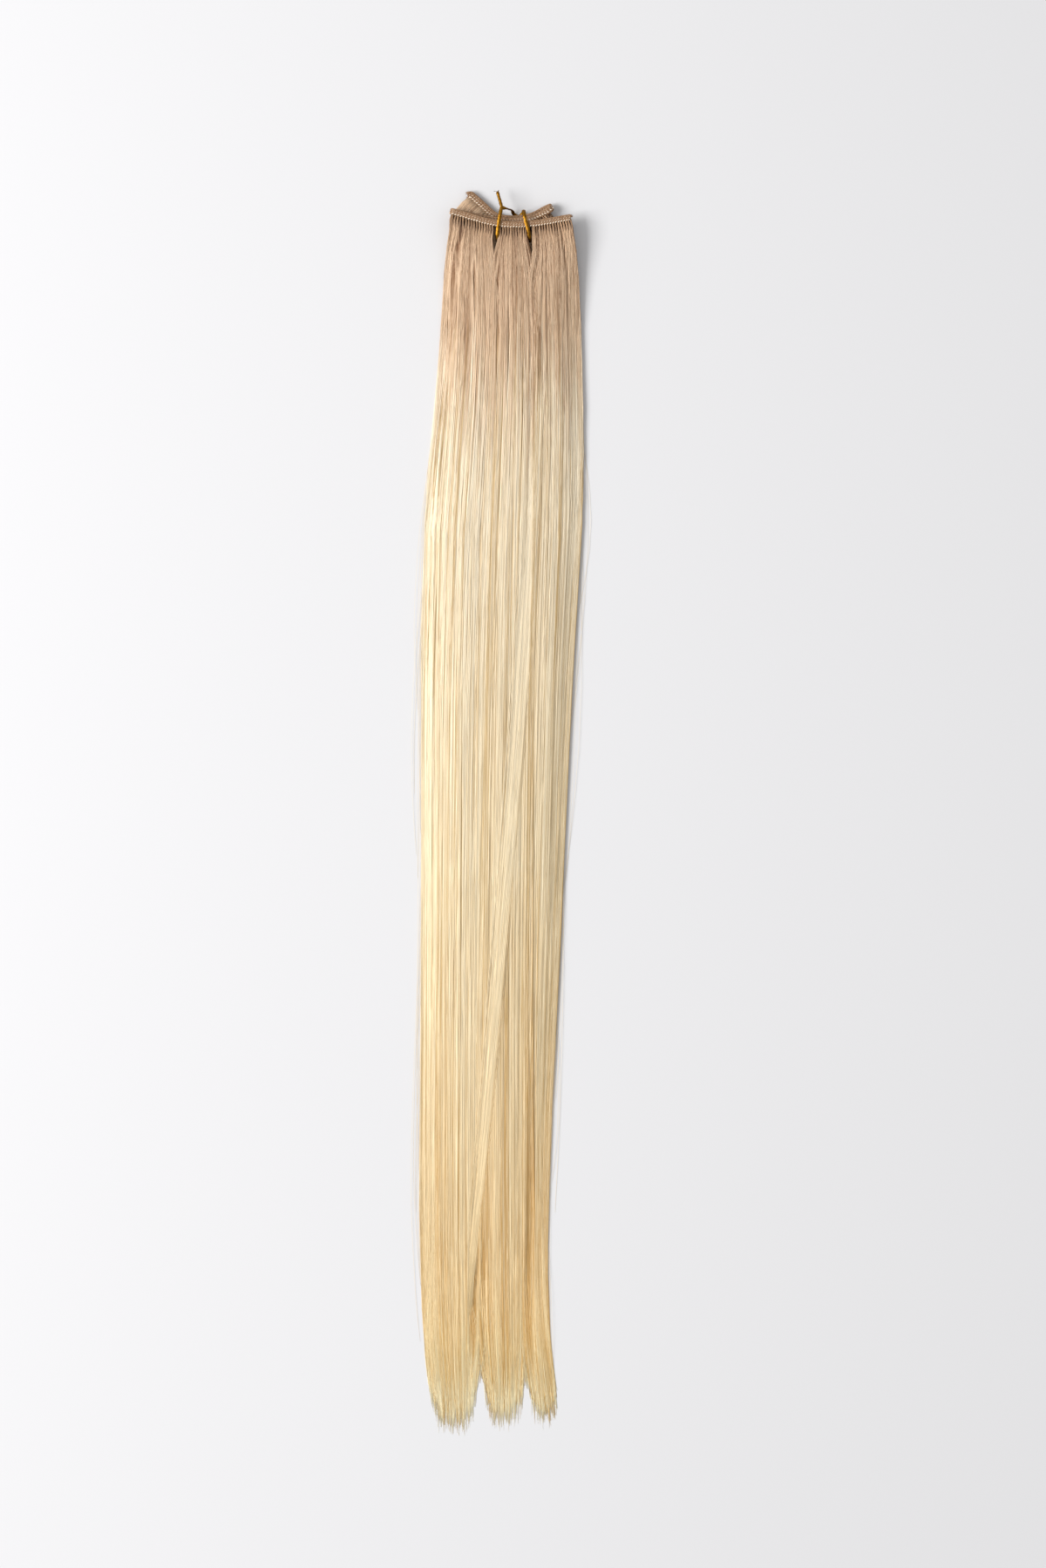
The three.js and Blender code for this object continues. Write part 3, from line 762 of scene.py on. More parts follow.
# Painted shade in valleys where the hair parts: points down and across it and a half width, in mm, and its
# strength
VALLEYS = (
    (((-6, -17.0), (0, -18.4), (12, -22.4), (31, -25.0), (52, -26.0)), 0.9, 0.75),
    (((4, -2.4), (20, -2.2), (40, -1.6), (75, -1.9)), 0.6, 0.5),
    (((10, -11.6), (22, -12.8), (34, -14.2), (50, -14.6)), 0.6, 0.5),
    (((-4, 28.4), (8, 30.6), (22, 32.6), (40, 33.6)), 0.5, 0.5),
    (((14, 14.6), (30, 16.2), (52, 17.0)), 0.6, 0.5),
    (((40, 4.2), (60, 3.6), (95, 3.0)), 0.5, 0.35),
    (((45, -17.4), (60, -17.6), (90, -18.0)), 0.8, 0.4),
    (((112, -32.2), (200, -33.4), (335, -34.2)), 0.5, 0.45),
    (((470, -11.8), (500, -13.0), (530, -14.0), (568, -14.6)), 1.7, 1.1),
    (((490, -8.4), (538, -9.2), (572, -10.2)), 1.0, 0.8),
    (((440, 15.2), (480, 14.6), (511, 14.2), (545, 13.8), (578, 14.6)), 1.4, 0.9),
)
VALLEY_FADE = 12 * MM
VALLEY_DEPTH = 0.5 * MM
VALLEY_PUSH = 0.9

# The tip of the lock at the right sweeps to the right, over distances down and places across
SWEEP = 2.4 * MM
SWEEP_DOWN = 540 * MM, 605 * MM
SWEEP_ACROSS = 11.5 * MM, 16.5 * MM


def combed(x, z, shade, down):
    """Strands swept at the right tip, and pushed aside, lowered and darkened with painted shade along the
    valleys.
    """
    x = x + SWEEP * rise(x, *SWEEP_ACROSS) * rise(down, *SWEEP_DOWN)
    for points, half_width, valley_shade in VALLEYS:
        place_down, place_x = np.transpose(points) * MM
        half = half_width * MM
        begun = smooth((down - place_down[0]) / VALLEY_FADE)
        ended = smooth((place_down[-1] - down) / VALLEY_FADE)
        off = (x - np.interp(down, place_down, place_x)) / half
        near = begun * ended * np.exp(-off * off)
        x = x + VALLEY_PUSH * half * off * near
        z = z - VALLEY_DEPTH * near
        # painted shade along the valley
        shade = shade - valley_shade * near
    return x, z, shade


# The strip's layers, and the forms of the locks
strip_triangles = node_triangles("seam_strip")
strip_low, strip_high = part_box("seam_strip")
front_layer = SeamLayer(strip_triangles, strip_high[2] - STRIP_THICKNESS / 2, True, False)
inner_layer = SeamLayer(strip_triangles, (strip_low[2] + strip_high[2]) / 2, True, True)
rear_layer = SeamLayer(strip_triangles, strip_low[2] + STRIP_THICKNESS / 2, False, True)
left_form = HairForm("hair_front_left", front_layer.hair_begins())
middle_form = HairForm("hair_front_middle", front_layer.hair_begins())
right_form = HairForm("hair_front_right", front_layer.hair_begins())
inner_form = HairForm("hair_inner", inner_layer.hair_begins())
rear_form = HairForm("hair_back", rear_layer.hair_begins())

# Where the roots of the front layer's locks part, measured a little below the strip
PARTING_LEVEL = front_layer.hair_begins() - 3 * MM
left_edge = left_form.x(1.0, PARTING_LEVEL)
middle_edges = middle_form.x(0.0, PARTING_LEVEL), middle_form.x(1.0, PARTING_LEVEL)
right_edge = right_form.x(0.0, PARTING_LEVEL)
fold_edge = front_layer.x[0] - STRIP_WIDTH / 2

hair = hair_material()


def hair_piece(name, node, form, roots, seed, count):
    strands = Strands()
    Lock(seed, count, form, roots).grow(strands)
    strands.build(name, "hair", node)


left_roots = LockRoots(front_layer, fold_edge, left_edge, right_open=True, flare=2.4 * MM)
middle_roots = LockRoots(front_layer, *middle_edges, left_open=True, right_open=True)
right_roots = LockRoots(front_layer, right_edge, front_layer.x[-1], left_open=True)
inner_roots = LockRoots(inner_layer, inner_layer.x[0], inner_layer.x[-1], ragged=UNDER_RAGGED)
rear_roots = LockRoots(
    rear_layer, rear_layer.x[0], rear_layer.x[-1],
    crowding=1.8, flare=3 * MM, gaps=0.25, lighter=0.3, ahead=0.025, ragged=UNDER_RAGGED,
)
hair_piece("strands_front_left", "hair_front_left", left_form, left_roots, seed=11, count=2100)
hair_piece("strands_front_middle", "hair_front_middle", middle_form, middle_roots, seed=12, count=1900)
hair_piece("strands_front_right", "hair_front_right", right_form, right_roots, seed=13, count=2000)
hair_piece("strands_inner", "hair_inner", inner_form, inner_roots, seed=14, count=450)
hair_piece("strands_back", "hair_back", rear_form, rear_roots, seed=15, count=1800)

# A lighter lock that crosses the front layer: distance down, place across, half width, height over it
CROSSING_LOCK = np.array([
    (0, 21.0, 1.8, -0.9),
    (60, 19.4, 2.2, -0.5),
    (96, 18.1, 2.4, 0.0),
    (131, 15.8, 2.6, 0.05),
    (175, 13.6, 2.7, 0.1),
    (236, 9.6, 2.6, 0.15),
    (279, 6.8, 2.5, 0.15),
    (349, 0.5, 2.4, 0.2),
    (410, -4.5, 2.2, 0.2),
    (462, -9.3, 2.0, 0.1),
    (497, -13.0, 1.9, 0.0),
    (545, -16.6, 1.9, -0.6),
]) * MM
CROSSING_STRANDS = 300
CROSSING_SPREAD = 0.7
CROSSING_RAGGED = 1.2, 25 * MM
CROSSING_CROWN = 0.2 * MM
CROSSING_TONE, CROSSING_TONES = 0.82, 0.1
# painted shade on the crossing lock's right side: its strength, and the places across where it comes in
CROSSING_SIDE_SHADE, CROSSING_SHADED_SIDE = 0.4, (0.8, 1.3)
CROSSING_AHEAD, CROSSING_JITTER = 0.02, 0.012
FRONT_NODES = "hair_front_left", "hair_front_middle", "hair_front_right"
front_tree = tree_of(np.concatenate([node_triangles(node) for node in FRONT_NODES]))


def front_height(x, y):
    """Top of the front layer under each point, or the floor where it isn't there."""
    heights = np.zeros(x.shape)
    for index in np.ndindex(x.shape):
        hit = front_tree.ray_cast(Vector((x[index], y[index], HairForm.RAY_START)), Vector((0, 0, -1)))[0]
        heights[index] = hit.z if hit is not None else 0
    return heights


def crossing_lock():
    rng = np.random.default_rng(21)
    strands = Strands()
    count = CROSSING_STRANDS
    place = rng.normal(0, CROSSING_SPREAD, count)
    root_y = front_layer.lower_edge(np.full(count, CROSSING_LOCK[0, 1]))
    end_y = SEAM_LINE - CROSSING_LOCK[-1, 0] + rng.gamma(*CROSSING_RAGGED, count)
    y = root_y[:, None] - RING_SHARES * (root_y - end_y)[:, None]
    down = SEAM_LINE - y
    middle, half, over = (np.interp(down, CROSSING_LOCK[:, 0], column) for column in CROSSING_LOCK.T[1:])
    x = middle + half * place[:, None] + STRAND_SWAY * waves(rng, count, STRAND_TURNS)
    crown = CROSSING_CROWN * (1 - np.minimum(place ** 2, 1)) * rng.uniform(-1, 1, count)
    z = (front_height(x, y) + over + crown[:, None]) * tips_lowered(down)
    shade = CROSSING_TONE + CROSSING_TONES * rng.normal(0, 1, count)
    # painted shade along the lock's right side, where it stands over the hair beside it
    shade -= CROSSING_SIDE_SHADE * rise(place, *CROSSING_SHADED_SIDE)
    jitter = rng.normal(0, CROSSING_JITTER, count)
    along = (root_y[:, None] - y) / FULL_LENGTH + CROSSING_AHEAD + jitter[:, None]
    strands.add(np.stack([x, y, np.maximum(z, STRAND_RADIUS)], 2), shade[:, None] + 0 * y, along)
    strands.build("crossing_lock", "hair")


crossing_lock()

# Finer hairs that come out between the others towards the tips, and run a little past them
TIP_STRANDS_PER_WIDTH = 60 / MM
TIP_RING_SHARES = np.array([0, 0.35, 0.65, 0.85, 1])
TIP_STRAND_RADIUS, TIP_STRAND_POINT = 0.11 * MM, 0.3
TIP_STRAND_STARTS = 480 * MM, 560 * MM
TIP_STRAND_SHARES = 0.02, 0.98
TIP_STRAND_DEPTHS = 0.1, 0.8
TIP_STRAND_SWAY, TIP_STRAND_TURNS = 0.7 * MM, (0.3, 1.2)
TIP_STRAND_GATHER = 0.5
TIP_STRAND_SPREADS = 480 * MM, 570 * MM
TIP_STRAND_OVER = 4.5 * MM
TIP_STRAND_RAGGED = 22 * MM
TIP_STRAND_AHEAD = 0.02
TIP_TONE = 0.9
TIP_STREAKS = 34
TIP_STREAK_TONES, TIP_STRAND_TONES = 0.34, 0.15
TIP_SHADED_SIDE = 11 * MM, 19 * MM


def tip_strands():
    rng = np.random.default_rng(23)
    strands = Strands()
    for form in (left_form, middle_form, right_form):
        hold = form.end + TIP_HOLD
        width = form.width(hold)
        count = round(width * TIP_STRANDS_PER_WIDTH)
        share = rng.uniform(*TIP_STRAND_SHARES, (count, 1))
        start = SEAM_LINE - rng.uniform(*TIP_STRAND_STARTS, (count, 1))
        short = TIP_STRAND_RAGGED * rng.uniform(0, 1, (count, 1)) ** END_SOFTNESS
        end = form.end - TIP_STRAND_OVER + short + TIP_ROUNDING * (2 * share - 1) ** 4
        y = start + TIP_RING_SHARES * (end - start)
        down = SEAM_LINE - y
        sway = TIP_STRAND_SWAY * waves(rng, count, TIP_STRAND_TURNS, TIP_RING_SHARES)
        gather = TIP_STRAND_GATHER * (1 - rise(down, *TIP_STRAND_SPREADS))
        gathered = share + gather * (0.5 - share)
        x = form.x(np.clip(gathered + sway / width, 0, 1), np.maximum(y, hold))
        depth = rng.uniform(*TIP_STRAND_DEPTHS, (count, 1))
        z = form.z(gathered, depth, y) * tips_lowered(down)
        streak = rng.normal(0, TIP_STREAK_TONES, TIP_STREAKS)[(share * TIP_STREAKS).astype(int)]
        shade = rng.normal(TIP_TONE, TIP_STRAND_TONES, (count, 1)) + streak
        # painted shade towards the right edge, as on the main locks
        shade = shade - RIGHT_PAINTED_SHADE * rise(x, *TIP_SHADED_SIDE)
        x, z, shade = combed(x, z, shade, down)
        path = np.stack([x, y, np.maximum(z, TIP_STRAND_RADIUS)], 2)
        along = down / FULL_LENGTH + TIP_STRAND_AHEAD
        strands.add(path, shade, along, TIP_STRAND_RADIUS, TIP_STRAND_POINT)
    strands.build("tip_strands", "hair")


tip_strands()

# Loose hairs beside the weft: they leave an edge of the hair, bulge outwards and come back or end outside
LOOSE_HAIRS = 34
LOOSE_LEFT = 0.5
LOOSE_RADIUS = 0.05 * MM
LOOSE_LENGTHS = 60 * MM, 230 * MM
LOOSE_FIRST, LOOSE_LAST = 40 * MM, 585 * MM
LOOSE_INSIDE = 1 * MM
LOOSE_BULGE, LOOSE_BULGES = 9 * MM, (1.3, 2.4)
LOOSE_TURNS = 0.6, 1.05
LOOSE_HEIGHTS = 0.12 * MM, 1.2 * MM
LOOSE_TONES = 0.5, 0.9


def loose_hairs():
    rng = np.random.default_rng(22)
    strands = Strands()
    each = (LOOSE_HAIRS, 1)
    at_left = rng.uniform(0, 1, each) < LOOSE_LEFT
    length = rng.uniform(*LOOSE_LENGTHS, each)
    start = rng.uniform(LOOSE_FIRST, LOOSE_LAST - length)
    down = start + length * RING_SHARES
    y = SEAM_LINE - down
    reach = LOOSE_BULGE * rng.beta(*LOOSE_BULGES, each)
    bulge = reach * np.sin(np.pi * rng.uniform(*LOOSE_TURNS, each) * RING_SHARES) - LOOSE_INSIDE
    x = np.where(at_left, left_form.x(0.0, y) - bulge, right_form.x(1.0, y) + bulge)
    z = LOOSE_RADIUS + rng.uniform(*LOOSE_HEIGHTS, each) * np.sin(np.pi * RING_SHARES)
    shade = rng.uniform(*LOOSE_TONES, each) + 0 * down
    strands.add(np.stack([x, y, z], 2), shade, down / FULL_LENGTH, LOOSE_RADIUS)
    strands.build("loose_hairs", "hair")


loose_hairs()

# The seam's section: ridges and grooves, as place across, width and height in shares of its half sizes
BAND_STEP = 0.2 * MM
BAND_ACROSS = np.cos(np.linspace(0, np.pi, 15))
BAND_RIDGES = (
    (0.8, 0.14, 0.16),
    (0.52, 0.1, -0.16),
    (0.25, 0.12, 0.1),
    (-0.05, 0.1, -0.1),
    (-0.4, 0.15, 0.1),
)

# The rear layer's flap is wider than the rest of the strip, from a distance past the fold on
FLAP_WIDER = 0.25
FLAP_REACH = 14 * MM

# Ribs of the hair that is wrapped round the seam, and waves as size, length and phase that make them uneven
RIB_PITCH = 0.62 * MM
RIB_HEIGHT = 0.06 * MM
RIB_SLANT = 1.2
RIB_WAVES = ((2.2, 3.1 * MM, 0), (1.4, 1.7 * MM, 2))

# The seam's colour place: on an even face, and how it goes with the ridges and the ribs,
# as painted shade in the grooves and painted light on the ridges and ribs
EVEN_PLACE, RIDGE_SHADE_PLACES, RIB_SHADE_PLACES = 0.55, 2.2, 0.2
BAND_MAP_HALF = 0.49


class SeamPath:
    """The folded strip from the front cut end to the rear one: its middle line, free edge and face."""

    FOLD_TURNS = np.linspace(0, np.pi, 15)[1:-1, None]

    def __init__(self, front, inner, rear):
        points, free = (table[::-1] for table in front.line())
        for layer, step in ((inner, 1), (rear, -1)):
            next_points, next_free = (table[::step] for table in layer.line())
            middle = (points[-1] + next_points[0]) / 2
            radius = np.linalg.norm(points[-1] - middle)
            outward = unit(points[-1] - points[-2])
            fold = middle + np.cos(self.FOLD_TURNS) * (points[-1] - middle)
            fold = fold + np.sin(self.FOLD_TURNS) * radius * outward
            turned = (1 - np.cos(self.FOLD_TURNS)) / 2
            fold_free = (1 - turned) * free[-1] + turned * next_free[0]
            points = np.concatenate([points, fold, next_points])
            free = np.concatenate([free, fold_free, next_free])
        measured = distances(points)
        self.length = measured[-1]
        self.distance = np.linspace(0, self.length, round(self.length / BAND_STEP))
        self.points = resampled(points, measured, self.distance)
        self.tangent = unit(np.gradient(self.points, axis=0))
        self.face = unit(np.cross(resampled(free, measured, self.distance), self.tangent))
        self.free = np.cross(self.tangent, self.face)
        self.leg_ends = np.array([0, front.length, front.length + inner.length, self.length])

    def place(self, distance, across, out):
        """Points at distances along, shares across towards the free edge, and heights out of the face."""
        held = np.clip(distance, 0, self.length)
        tables = self.points, self.free, self.face, self.tangent
        point, free, face, tangent = (resampled(table, self.distance, held) for table in tables)
        past = (distance - held)[..., None] * tangent
        half = STRIP_WIDTH / 2 * (1 + FLAP_WIDER * smooth((held - self.leg_ends[2]) / FLAP_REACH))
        return point + past + (half * across)[..., None] * free + out[..., None] * face


def even_height(across):
    """How far the seam's rounded face would stand out from its middle without ridges, at shares across it."""
    return STRIP_THICKNESS / 2 * np.sqrt(np.clip(1 - across ** 4, 0, 1))


def band_height(across):
    """How far the seam's face stands out from its middle, with its ridges."""
    detail = sum(height * np.exp(-((across - place) / width) ** 2) for place, width, height in BAND_RIDGES)
    return even_height(across) * (1 + detail)


def rib(distance, across):
    """The wrapped hair's ribs across the seam, from -1 to 1."""
    uneven = sum(size * np.sin(distance / length + phase) for size, length, phase in RIB_WAVES)
    return np.sin(2 * np.pi * distance / RIB_PITCH + uneven + RIB_SLANT * across)


def seam_band(path):
    """The swept band, with a face on each side."""
    ring, side = two_faced(BAND_ACROSS)
    distance = np.repeat(path.distance[:, None], len(ring), axis=1)
    across = np.repeat(ring[None], len(path.distance), axis=0)
    ribs = rib(distance, across * side)
    height = band_height(across)
    points = path.place(distance, across, (height + RIB_HEIGHT * ribs * (1 - across ** 2)) * side)
    # colour place from the section's heights: painted shade in the grooves, painted light on the ridges and
    # ribs
    ridge_shading = (height - even_height(across)) / (STRIP_THICKNESS / 2)
    ridge_shading = np.clip(EVEN_PLACE + RIDGE_SHADE_PLACES * ridge_shading + RIB_SHADE_PLACES * ribs, 0, 1)
    uv = np.stack([distance / path.length, 0.5 + BAND_MAP_HALF * across], -1).reshape(-1, 2)
    faces = tube_faces(1, len(path.distance), len(ring))
    values = {"ridge_shading": ridge_shading.reshape(-1)}
    mesh_object("seam_band", points.reshape(-1, 3), faces, seam_material(), values, uv, "seam", "seam_strip")


# Hair wrapped over the seam, and the fibres that stick out of its two cut ends in two prongs
FIBRE_RINGS = np.linspace(0, 1, 9)
FIBRE_RADIUS = 0.07 * MM
FIBRE_TONES = 0.4, 0.2
WRAP_FIBRES = 620
WRAP_SLANT = 0.5 * MM
WRAP_OUT = 0.01 * MM, 0.07 * MM
WRAP_COLOUR, FRAY_COLOUR = 0.02, 0.015
FRAY_FIBRES = 40
FRAY_REACH = 0.15 * MM, 1.0 * MM
FRAY_INSIDE = 1 * MM
FRAY_SPREAD = 0.15
FRAY_OUT, FRAY_CLOSING = 0.8, 0.5
PRONG_PLACE, PRONG_SPREAD, PRONG_MOST = 0.55, 0.16, 0.95


def seam_fibres(path):
    rng = np.random.default_rng(31)
    fibres = Strands()
    each = (WRAP_FIBRES, 1)
    start = rng.uniform(0, path.length, each)
    distance = start + rng.normal(0, WRAP_SLANT, each) * (FIBRE_RINGS - 0.5)
    across = -np.cos(np.pi * FIBRE_RINGS) * np.ones(each)
    side = rng.choice([-1.0, 1.0], each)
    out = side * (band_height(across) + rng.uniform(*WRAP_OUT, each))
    shade = rng.normal(*FIBRE_TONES, each) + 0 * FIBRE_RINGS
    fibres.add(path.place(distance, across, out), shade, WRAP_COLOUR + 0 * distance, FIBRE_RADIUS, tip=1)
    each = (FRAY_FIBRES, 1)
    for end, outward in ((0, -1), (path.length, 1)):
        reach = rng.uniform(*FRAY_REACH, each)
        prong = PRONG_PLACE * rng.choice([-1.0, 1.0], each) + rng.normal(0, PRONG_SPREAD, each)
        across = prong + rng.normal(0, FRAY_SPREAD, each) * FIBRE_RINGS ** 2
        height = band_height(np.clip(prong, -PRONG_MOST, PRONG_MOST))
        out = rng.uniform(-FRAY_OUT, FRAY_OUT, each) * height * (1 - FRAY_CLOSING * FIBRE_RINGS)
        distance = end + outward * (FIBRE_RINGS * (reach + FRAY_INSIDE) - FRAY_INSIDE)
        shade = rng.normal(*FIBRE_TONES, each) + 0 * FIBRE_RINGS
        fibres.add(path.place(distance, across, out), shade, FRAY_COLOUR + 0 * distance, FIBRE_RADIUS)
    fibres.build("seam_fibres", "seam")



@dataclass
class StitchRow:
    """A row of stitches on both faces: sizes in mm, slant in radians, shares across at ends and folds."""

    pitch: float
    half: float
    radius: float
    tone: float
    slant: float
    across: tuple


# Rows of stitches, and the beads that they are made of
STITCH_ROWS = (
    StitchRow(1.4, 0.58, 0.27, 1.0, 0.62, (-0.72, -0.72, -0.25, -0.45)),
    StitchRow(1.4, 0.5, 0.15, 0.45, 0.62, (0.05, 0.05, 0.3, 0.1)),
    StitchRow(1.9, 0.75, 0.11, 0.2, 0, (0.53, 0.53, 0.6, 0.53)),
)
STITCH_RINGS = np.linspace(-1, 1, 6)
STITCH_SIDES = 6
STITCH_LENGTHS = 0.88, 1.1
STITCH_STRAY = 0.03
STITCH_MOST = 0.98
STITCH_BULGE, STITCH_TAPER = 0.4, 0.85
STITCH_TONES = 0.1
STITCH_MAP = 0.9


def seam_stitches(path):
    rng = np.random.default_rng(32)
    stitches = Tubes()
    tones, maps = [], []
    for number, row in enumerate(STITCH_ROWS):
        middles = np.arange(row.pitch * MM / 2, path.length, row.pitch * MM)
        count = len(middles)
        radius = row.radius * MM
        for side in (1, -1):
            half = row.half * MM * rng.uniform(*STITCH_LENGTHS, (count, 1))
            distance = middles[:, None] - half * np.cos(row.slant) * STITCH_RINGS
            middle = np.interp(middles, path.leg_ends, row.across) + rng.normal(0, STITCH_STRAY, count)
            across = middle[:, None] + half * np.sin(row.slant) / (STRIP_WIDTH / 2) * STITCH_RINGS
            out = band_height(np.clip(across, -STITCH_MOST, STITCH_MOST))
            out += STITCH_BULGE * radius * (1 - STITCH_RINGS ** 2)
            radii = radius * np.sqrt(1 - STITCH_TAPER * STITCH_RINGS ** 2) * np.ones((count, 1))
            stitches.add_tubes(path.place(distance, across, side * out), radii, STITCH_SIDES)
            tone = np.clip(row.tone + rng.normal(0, STITCH_TONES, count), 0, 1)
            tones.append(np.repeat(tone, len(STITCH_RINGS) * STITCH_SIDES))
            round_map = np.arange(STITCH_SIDES) / STITCH_SIDES * np.ones((count, len(STITCH_RINGS), 1))
            along_map = (np.arange(count)[:, None, None] + STITCH_RINGS[:, None] / 3 + 0.5) / count
            band = (2 * number + (side < 0) + STITCH_MAP * round_map) / (2 * len(STITCH_ROWS))
            maps.append(np.stack([along_map + 0 * band, band], -1).reshape(-1, 2))
    values = {"tone": np.concatenate(tones)}
    mesh_object("seam_stitches", *stitches.shape(), thread_material(), values, np.concatenate(maps), "seam")


seam_path = SeamPath(front_layer, inner_layer, rear_layer)
seam_band(seam_path)
seam_fibres(seam_path)
seam_stitches(seam_path)

# The twist tie's loop: places across, up from the seam line and off the floor in mm, and which way it faces
TIE_ROUTE = (
    (-1.5, 5.0, 9.9, "up"),
    (-2.4, 0.0, 10.0, "up"),
    (-2.8, -3.6, 9.9, "up"),
    (-2.9, -6.6, 9.0, "up"),
    (-2.8, -8.8, 6.0, "tips"),
    (-2.6, -9.4, 3.0, "left"),
    (-0.8, -9.6, 0.75, "down"),
    (5.0, -9.6, 0.6, "down"),
    (10.8, -9.6, 0.75, "down"),
    (12.8, -9.4, 3.0, "right"),
    (13.0, -8.8, 6.0, "tips"),
    (12.9, -6.4, 9.0, "up"),
    (12.4, -3.4, 9.9, "up"),
    (11.3, 0.6, 10.0, "up"),
    (10.5, 4.2, 9.8, "up"),
    (10.2, 6.5, 7.6, "away"),
    (10.0, 6.7, 3.6, "away"),
    (9.6, 5.6, 0.9, "down"),
    (7.4, 3.9, 0.6, "down"),
    (5.2, 5.4, 0.9, "down"),
    (4.4, 6.9, 3.2, "away"),
    (2.4, 7.5, 6.4, "away"),
)
FACING = {
    "up": (0, 0, 1),
    "down": (0, 0, -1),
    "left": (-1, 0, 0),
    "right": (1, 0, 0),
    "away": (0, 1, 0),
    "tips": (0, -1, 0),
}
KNOT = np.array((-0.8, 8.4, 8.8))
PIGTAIL_END = np.array((-2.9, 15.8, 7.6))
PIGTAIL_TURNS = 2.25
PIGTAIL_AWAY = 0.36
PIGTAIL_SHARES = np.linspace(0, 1, 22)
TIE_SHIFT = np.array((0.9, SEAM_LINE / MM, 0))

# The tie's section, a flat foil with a wire in its middle, in mm
TIE_ACROSS = np.cos(np.linspace(0, np.pi, 11))
TIE_HALF_WIDTH = 0.88
TIE_EDGE = 0.16
TIE_WIRE = 0.26
TIE_WIRE_WIDTH = 0.5
TIE_STEP = 0.18
TIE_MAP_HALF = 0.23

# How its facing, width and edges vary along it: sizes, and uneven waves as in wobble
FLUTTER, FLUTTER_WAVE = 0.1, (0.55, 1.5, 1.3)
WIDENING, WIDTH_WAVE = 0.06, (0.8, 2, 2.1)
CRINKLE, CRINKLE_WAVE, CRINKLE_SLANT = 0.04, (0.31, 2, 1.1), 2.5


def wobble(at, length, unevenness, slow_length, phase=0):
    """A wave along a path whose length varies in a slower wave."""
    return np.sin(at / length + unevenness * np.sin(at / slow_length) + phase)


def pigtail_place(share, side):
    """Middle lines and facings of one of the two ends that wind round each other."""
    axis = unit(PIGTAIL_END - KNOT)
    upward = unit(np.array((0, 0, 1)) - axis * axis[UP])
    sideways = np.cross(axis, upward)
    turn = 2 * np.pi * PIGTAIL_TURNS * share[:, None]
    spoke = side * (np.cos(turn) * upward + np.sin(turn) * sideways)
    return KNOT + share[:, None] * (PIGTAIL_END - KNOT) + PIGTAIL_AWAY * spoke, spoke


def curve_through(points, knots, at):
    """A smooth curve through points at knots."""
    slopes = np.gradient(points, knots, axis=0)
    k = np.clip(np.searchsorted(knots, at, side="right") - 1, 0, len(knots) - 2)
    span = (knots[k + 1] - knots[k])[:, None]
    t = (at - knots[k])[:, None] / span
    start = (1 + 2 * t) * (1 - t) ** 2 * points[k] + t * (1 - t) ** 2 * span * slopes[k]
    end = t * t * (3 - 2 * t) * points[k + 1] + t * t * (t - 1) * span * slopes[k + 1]
    return start + end


def tie_path():
    """The tie's middle line, its facing, and distances along it, in mm."""
    first, first_facing = pigtail_place(PIGTAIL_SHARES[::-1], 1)
    second, second_facing = pigtail_place(PIGTAIL_SHARES, -1)
    control = np.concatenate([first, [row[:3] for row in TIE_ROUTE], second])
    control_facing = np.concatenate([first_facing, [FACING[row[3]] for row in TIE_ROUTE], second_facing])
    knots = distances(control)
    at = np.linspace(0, knots[-1], round(knots[-1] / TIE_STEP))
    path = curve_through(control, knots, at)
    path[:, UP] = np.maximum(path[:, UP], TIE_EDGE + TIE_WIRE + CRINKLE)
    facing = resampled(control_facing, knots, at)
    sideways = np.cross(np.gradient(path, axis=0) / TIE_STEP, facing)
    return path, facing + FLUTTER * wobble(at, *FLUTTER_WAVE)[:, None] * sideways, at


def twist_tie():
    path, facing, at = tie_path()
    ring, side = two_faced(TIE_ACROSS)
    across = ring * TIE_HALF_WIDTH * (1 + WIDENING * wobble(at, *WIDTH_WAVE))[:, None]
    wire = TIE_WIRE * np.exp(-((ring * TIE_HALF_WIDTH) / TIE_WIRE_WIDTH) ** 2)
    thick = TIE_EDGE * np.sqrt(1 - ring ** 2) + wire
    fold = CRINKLE * wobble(at[:, None], *CRINKLE_WAVE, CRINKLE_SLANT * ring * side) * ring ** 2
    points = ribbon_points(path, facing, across, thick * side + fold)
    face_map = (2 - side) / 4 + TIE_MAP_HALF * ring
    uv = np.stack([at[:, None] / at[-1] + 0 * across, face_map + 0 * across], -1).reshape(-1, 2)
    placed = (points.reshape(-1, 3) + TIE_SHIFT) * MM
    faces = tube_faces(1, len(at), len(ring))
    mesh_object("gold_tie", placed, faces, gold_material(), {}, uv, "tie", "twist_tie")


twist_tie()

# Bare wire that sticks out of the tie's two cut ends: from its middle to its tip, in mm
WIRE_ENDS = (
    ((-2.7, 15.2, 7.9), (-3.3, 16.0, 7.9), (-4.7, 16.3, 7.6)),
    ((-2.8, 15.2, 7.3), (-2.6, 16.4, 7.4), (-2.2, 16.9, 7.2)),
)
WIRE_RADIUS = 0.17
WIRE_SIDES = 8


def wire_ends():
    paths = (np.array(WIRE_ENDS) + TIE_SHIFT) * MM
    radii = np.full(paths.shape[:2], WIRE_RADIUS * MM)
    points = tube_points(paths, radii, WIRE_SIDES)
    ends, rings, sides = points.shape[:3]
    tube, ring, side = np.indices((ends, rings, sides))
    uv = np.stack([(side + 0.5) / sides, (tube + (ring + 0.5) / rings) / ends], -1).reshape(-1, 2)
    faces = tube_faces(ends, rings, sides)
    mesh_object("wire_ends", points.reshape(-1, 3), faces, wire_material(), {}, uv, "tie")


wire_ends()

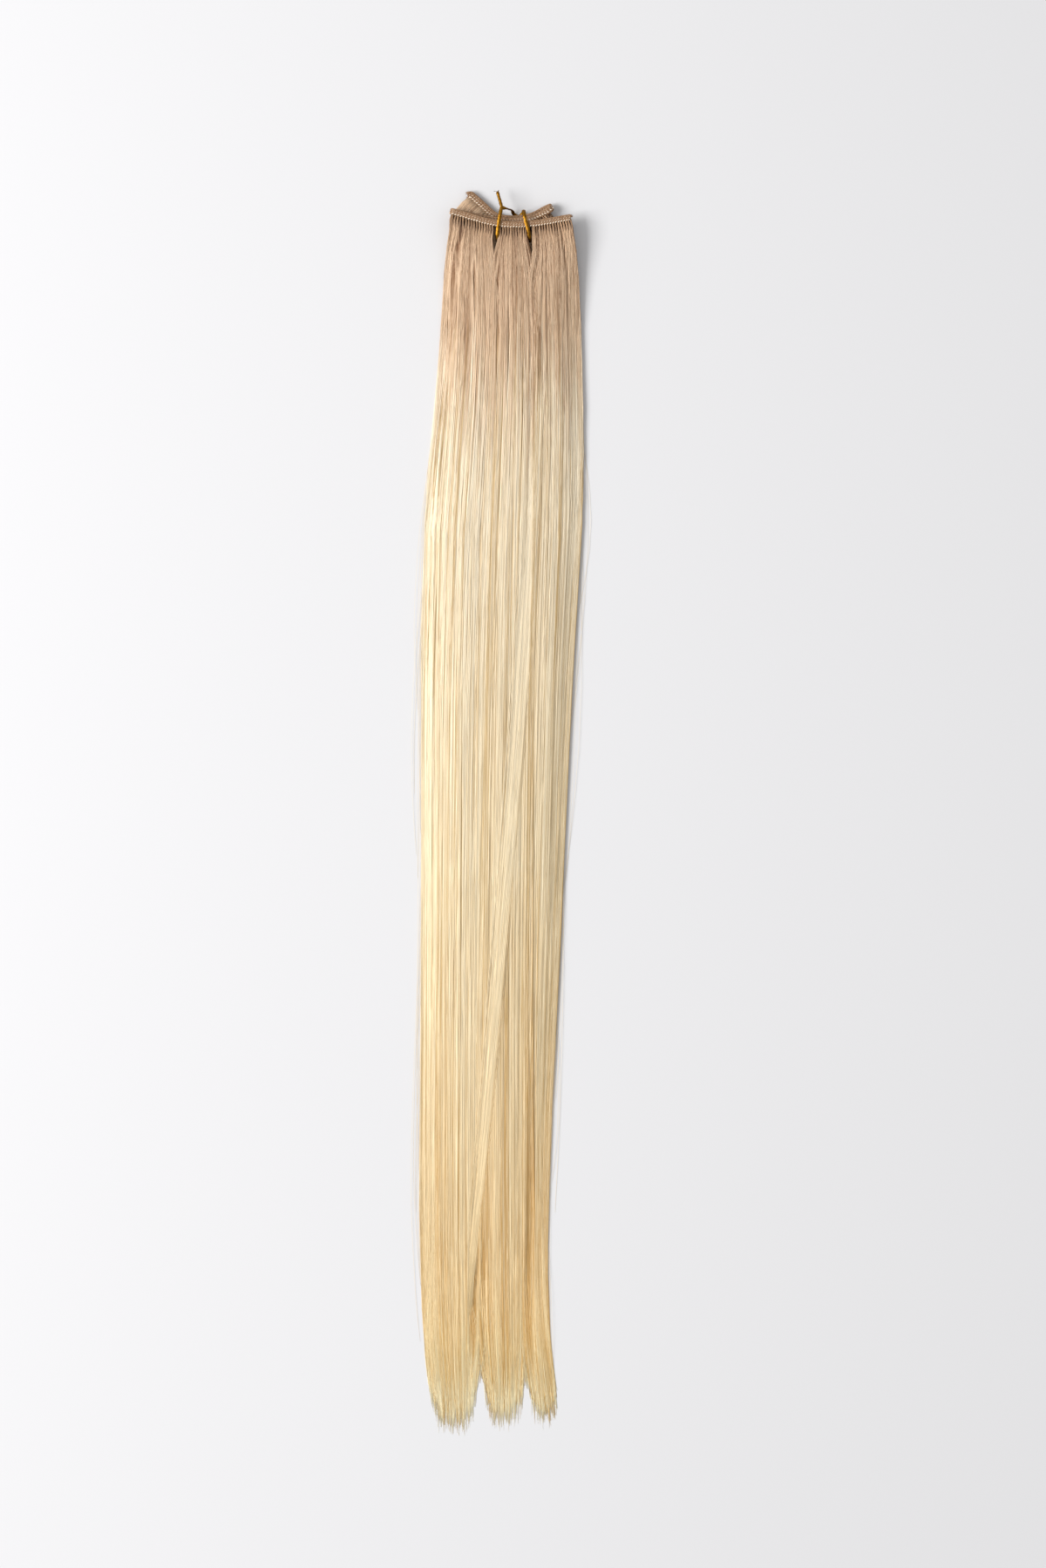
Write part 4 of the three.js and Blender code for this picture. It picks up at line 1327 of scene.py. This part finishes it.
# Floor, light and camera
FLOOR_SIZE = 8
FLOOR_DROP = 0.05 * MM
KEY_LIGHT = {"place": (-2.0, 0.2, 1.73), "size": 1.35, "power": 76}
SURROUND_LOW, SURROUND_HIGH = (0.42, 0.42, 0.42, 1), (0.67, 0.67, 0.67, 1)
CAMERA_HEIGHT = 4.0

bpy.ops.mesh.primitive_plane_add(size=FLOOR_SIZE, location=(0, 0, -FLOOR_DROP))
floor = bpy.context.object
floor.name = "floor"
floor.data.materials.append(floor_material())


def area_light(name, place, size, power):
    """A square soft light that points at the origin."""
    data = bpy.data.lights.new(name, "AREA")
    data.size = size
    data.energy = power
    light = bpy.data.objects.new(name, data)
    light.location = place
    light.rotation_euler = (-Vector(place)).to_track_quat("-Z", "Y").to_euler()
    bpy.context.scene.collection.objects.link(light)


def studio_world():
    """An even pale surround, brighter overhead."""
    world = bpy.data.worlds.new("studio")
    bpy.context.scene.world = world
    world.use_nodes = True
    nodes, links = world.node_tree.nodes, world.node_tree.links
    place = nodes.new("ShaderNodeTexCoord")
    split = nodes.new("ShaderNodeSeparateXYZ")
    ramp = nodes.new("ShaderNodeValToRGB")
    ramp.color_ramp.elements[0].color = SURROUND_LOW
    ramp.color_ramp.elements[1].color = SURROUND_HIGH
    links.new(place.outputs["Generated"], split.inputs["Vector"])
    links.new(split.outputs["Z"], ramp.inputs["Fac"])
    links.new(ramp.outputs["Color"], nodes["Background"].inputs["Color"])


area_light("key", **KEY_LIGHT)
studio_world()
bpy.context.scene.view_settings.view_transform = "Standard"

camera_data = bpy.data.cameras.new("camera")
camera_data.lens = camera_data.sensor_width * CAMERA_HEIGHT / (PHOTO_HEIGHT * PHOTO_PIXEL)
camera = bpy.data.objects.new("camera", camera_data)
camera.location = (
    (PHOTO_WIDTH / 2 - ORIGIN_PIXEL[0]) * PHOTO_PIXEL,
    (ORIGIN_PIXEL[1] - PHOTO_HEIGHT / 2) * PHOTO_PIXEL,
    CAMERA_HEIGHT,
)
bpy.context.scene.collection.objects.link(camera)
bpy.context.scene.camera = camera
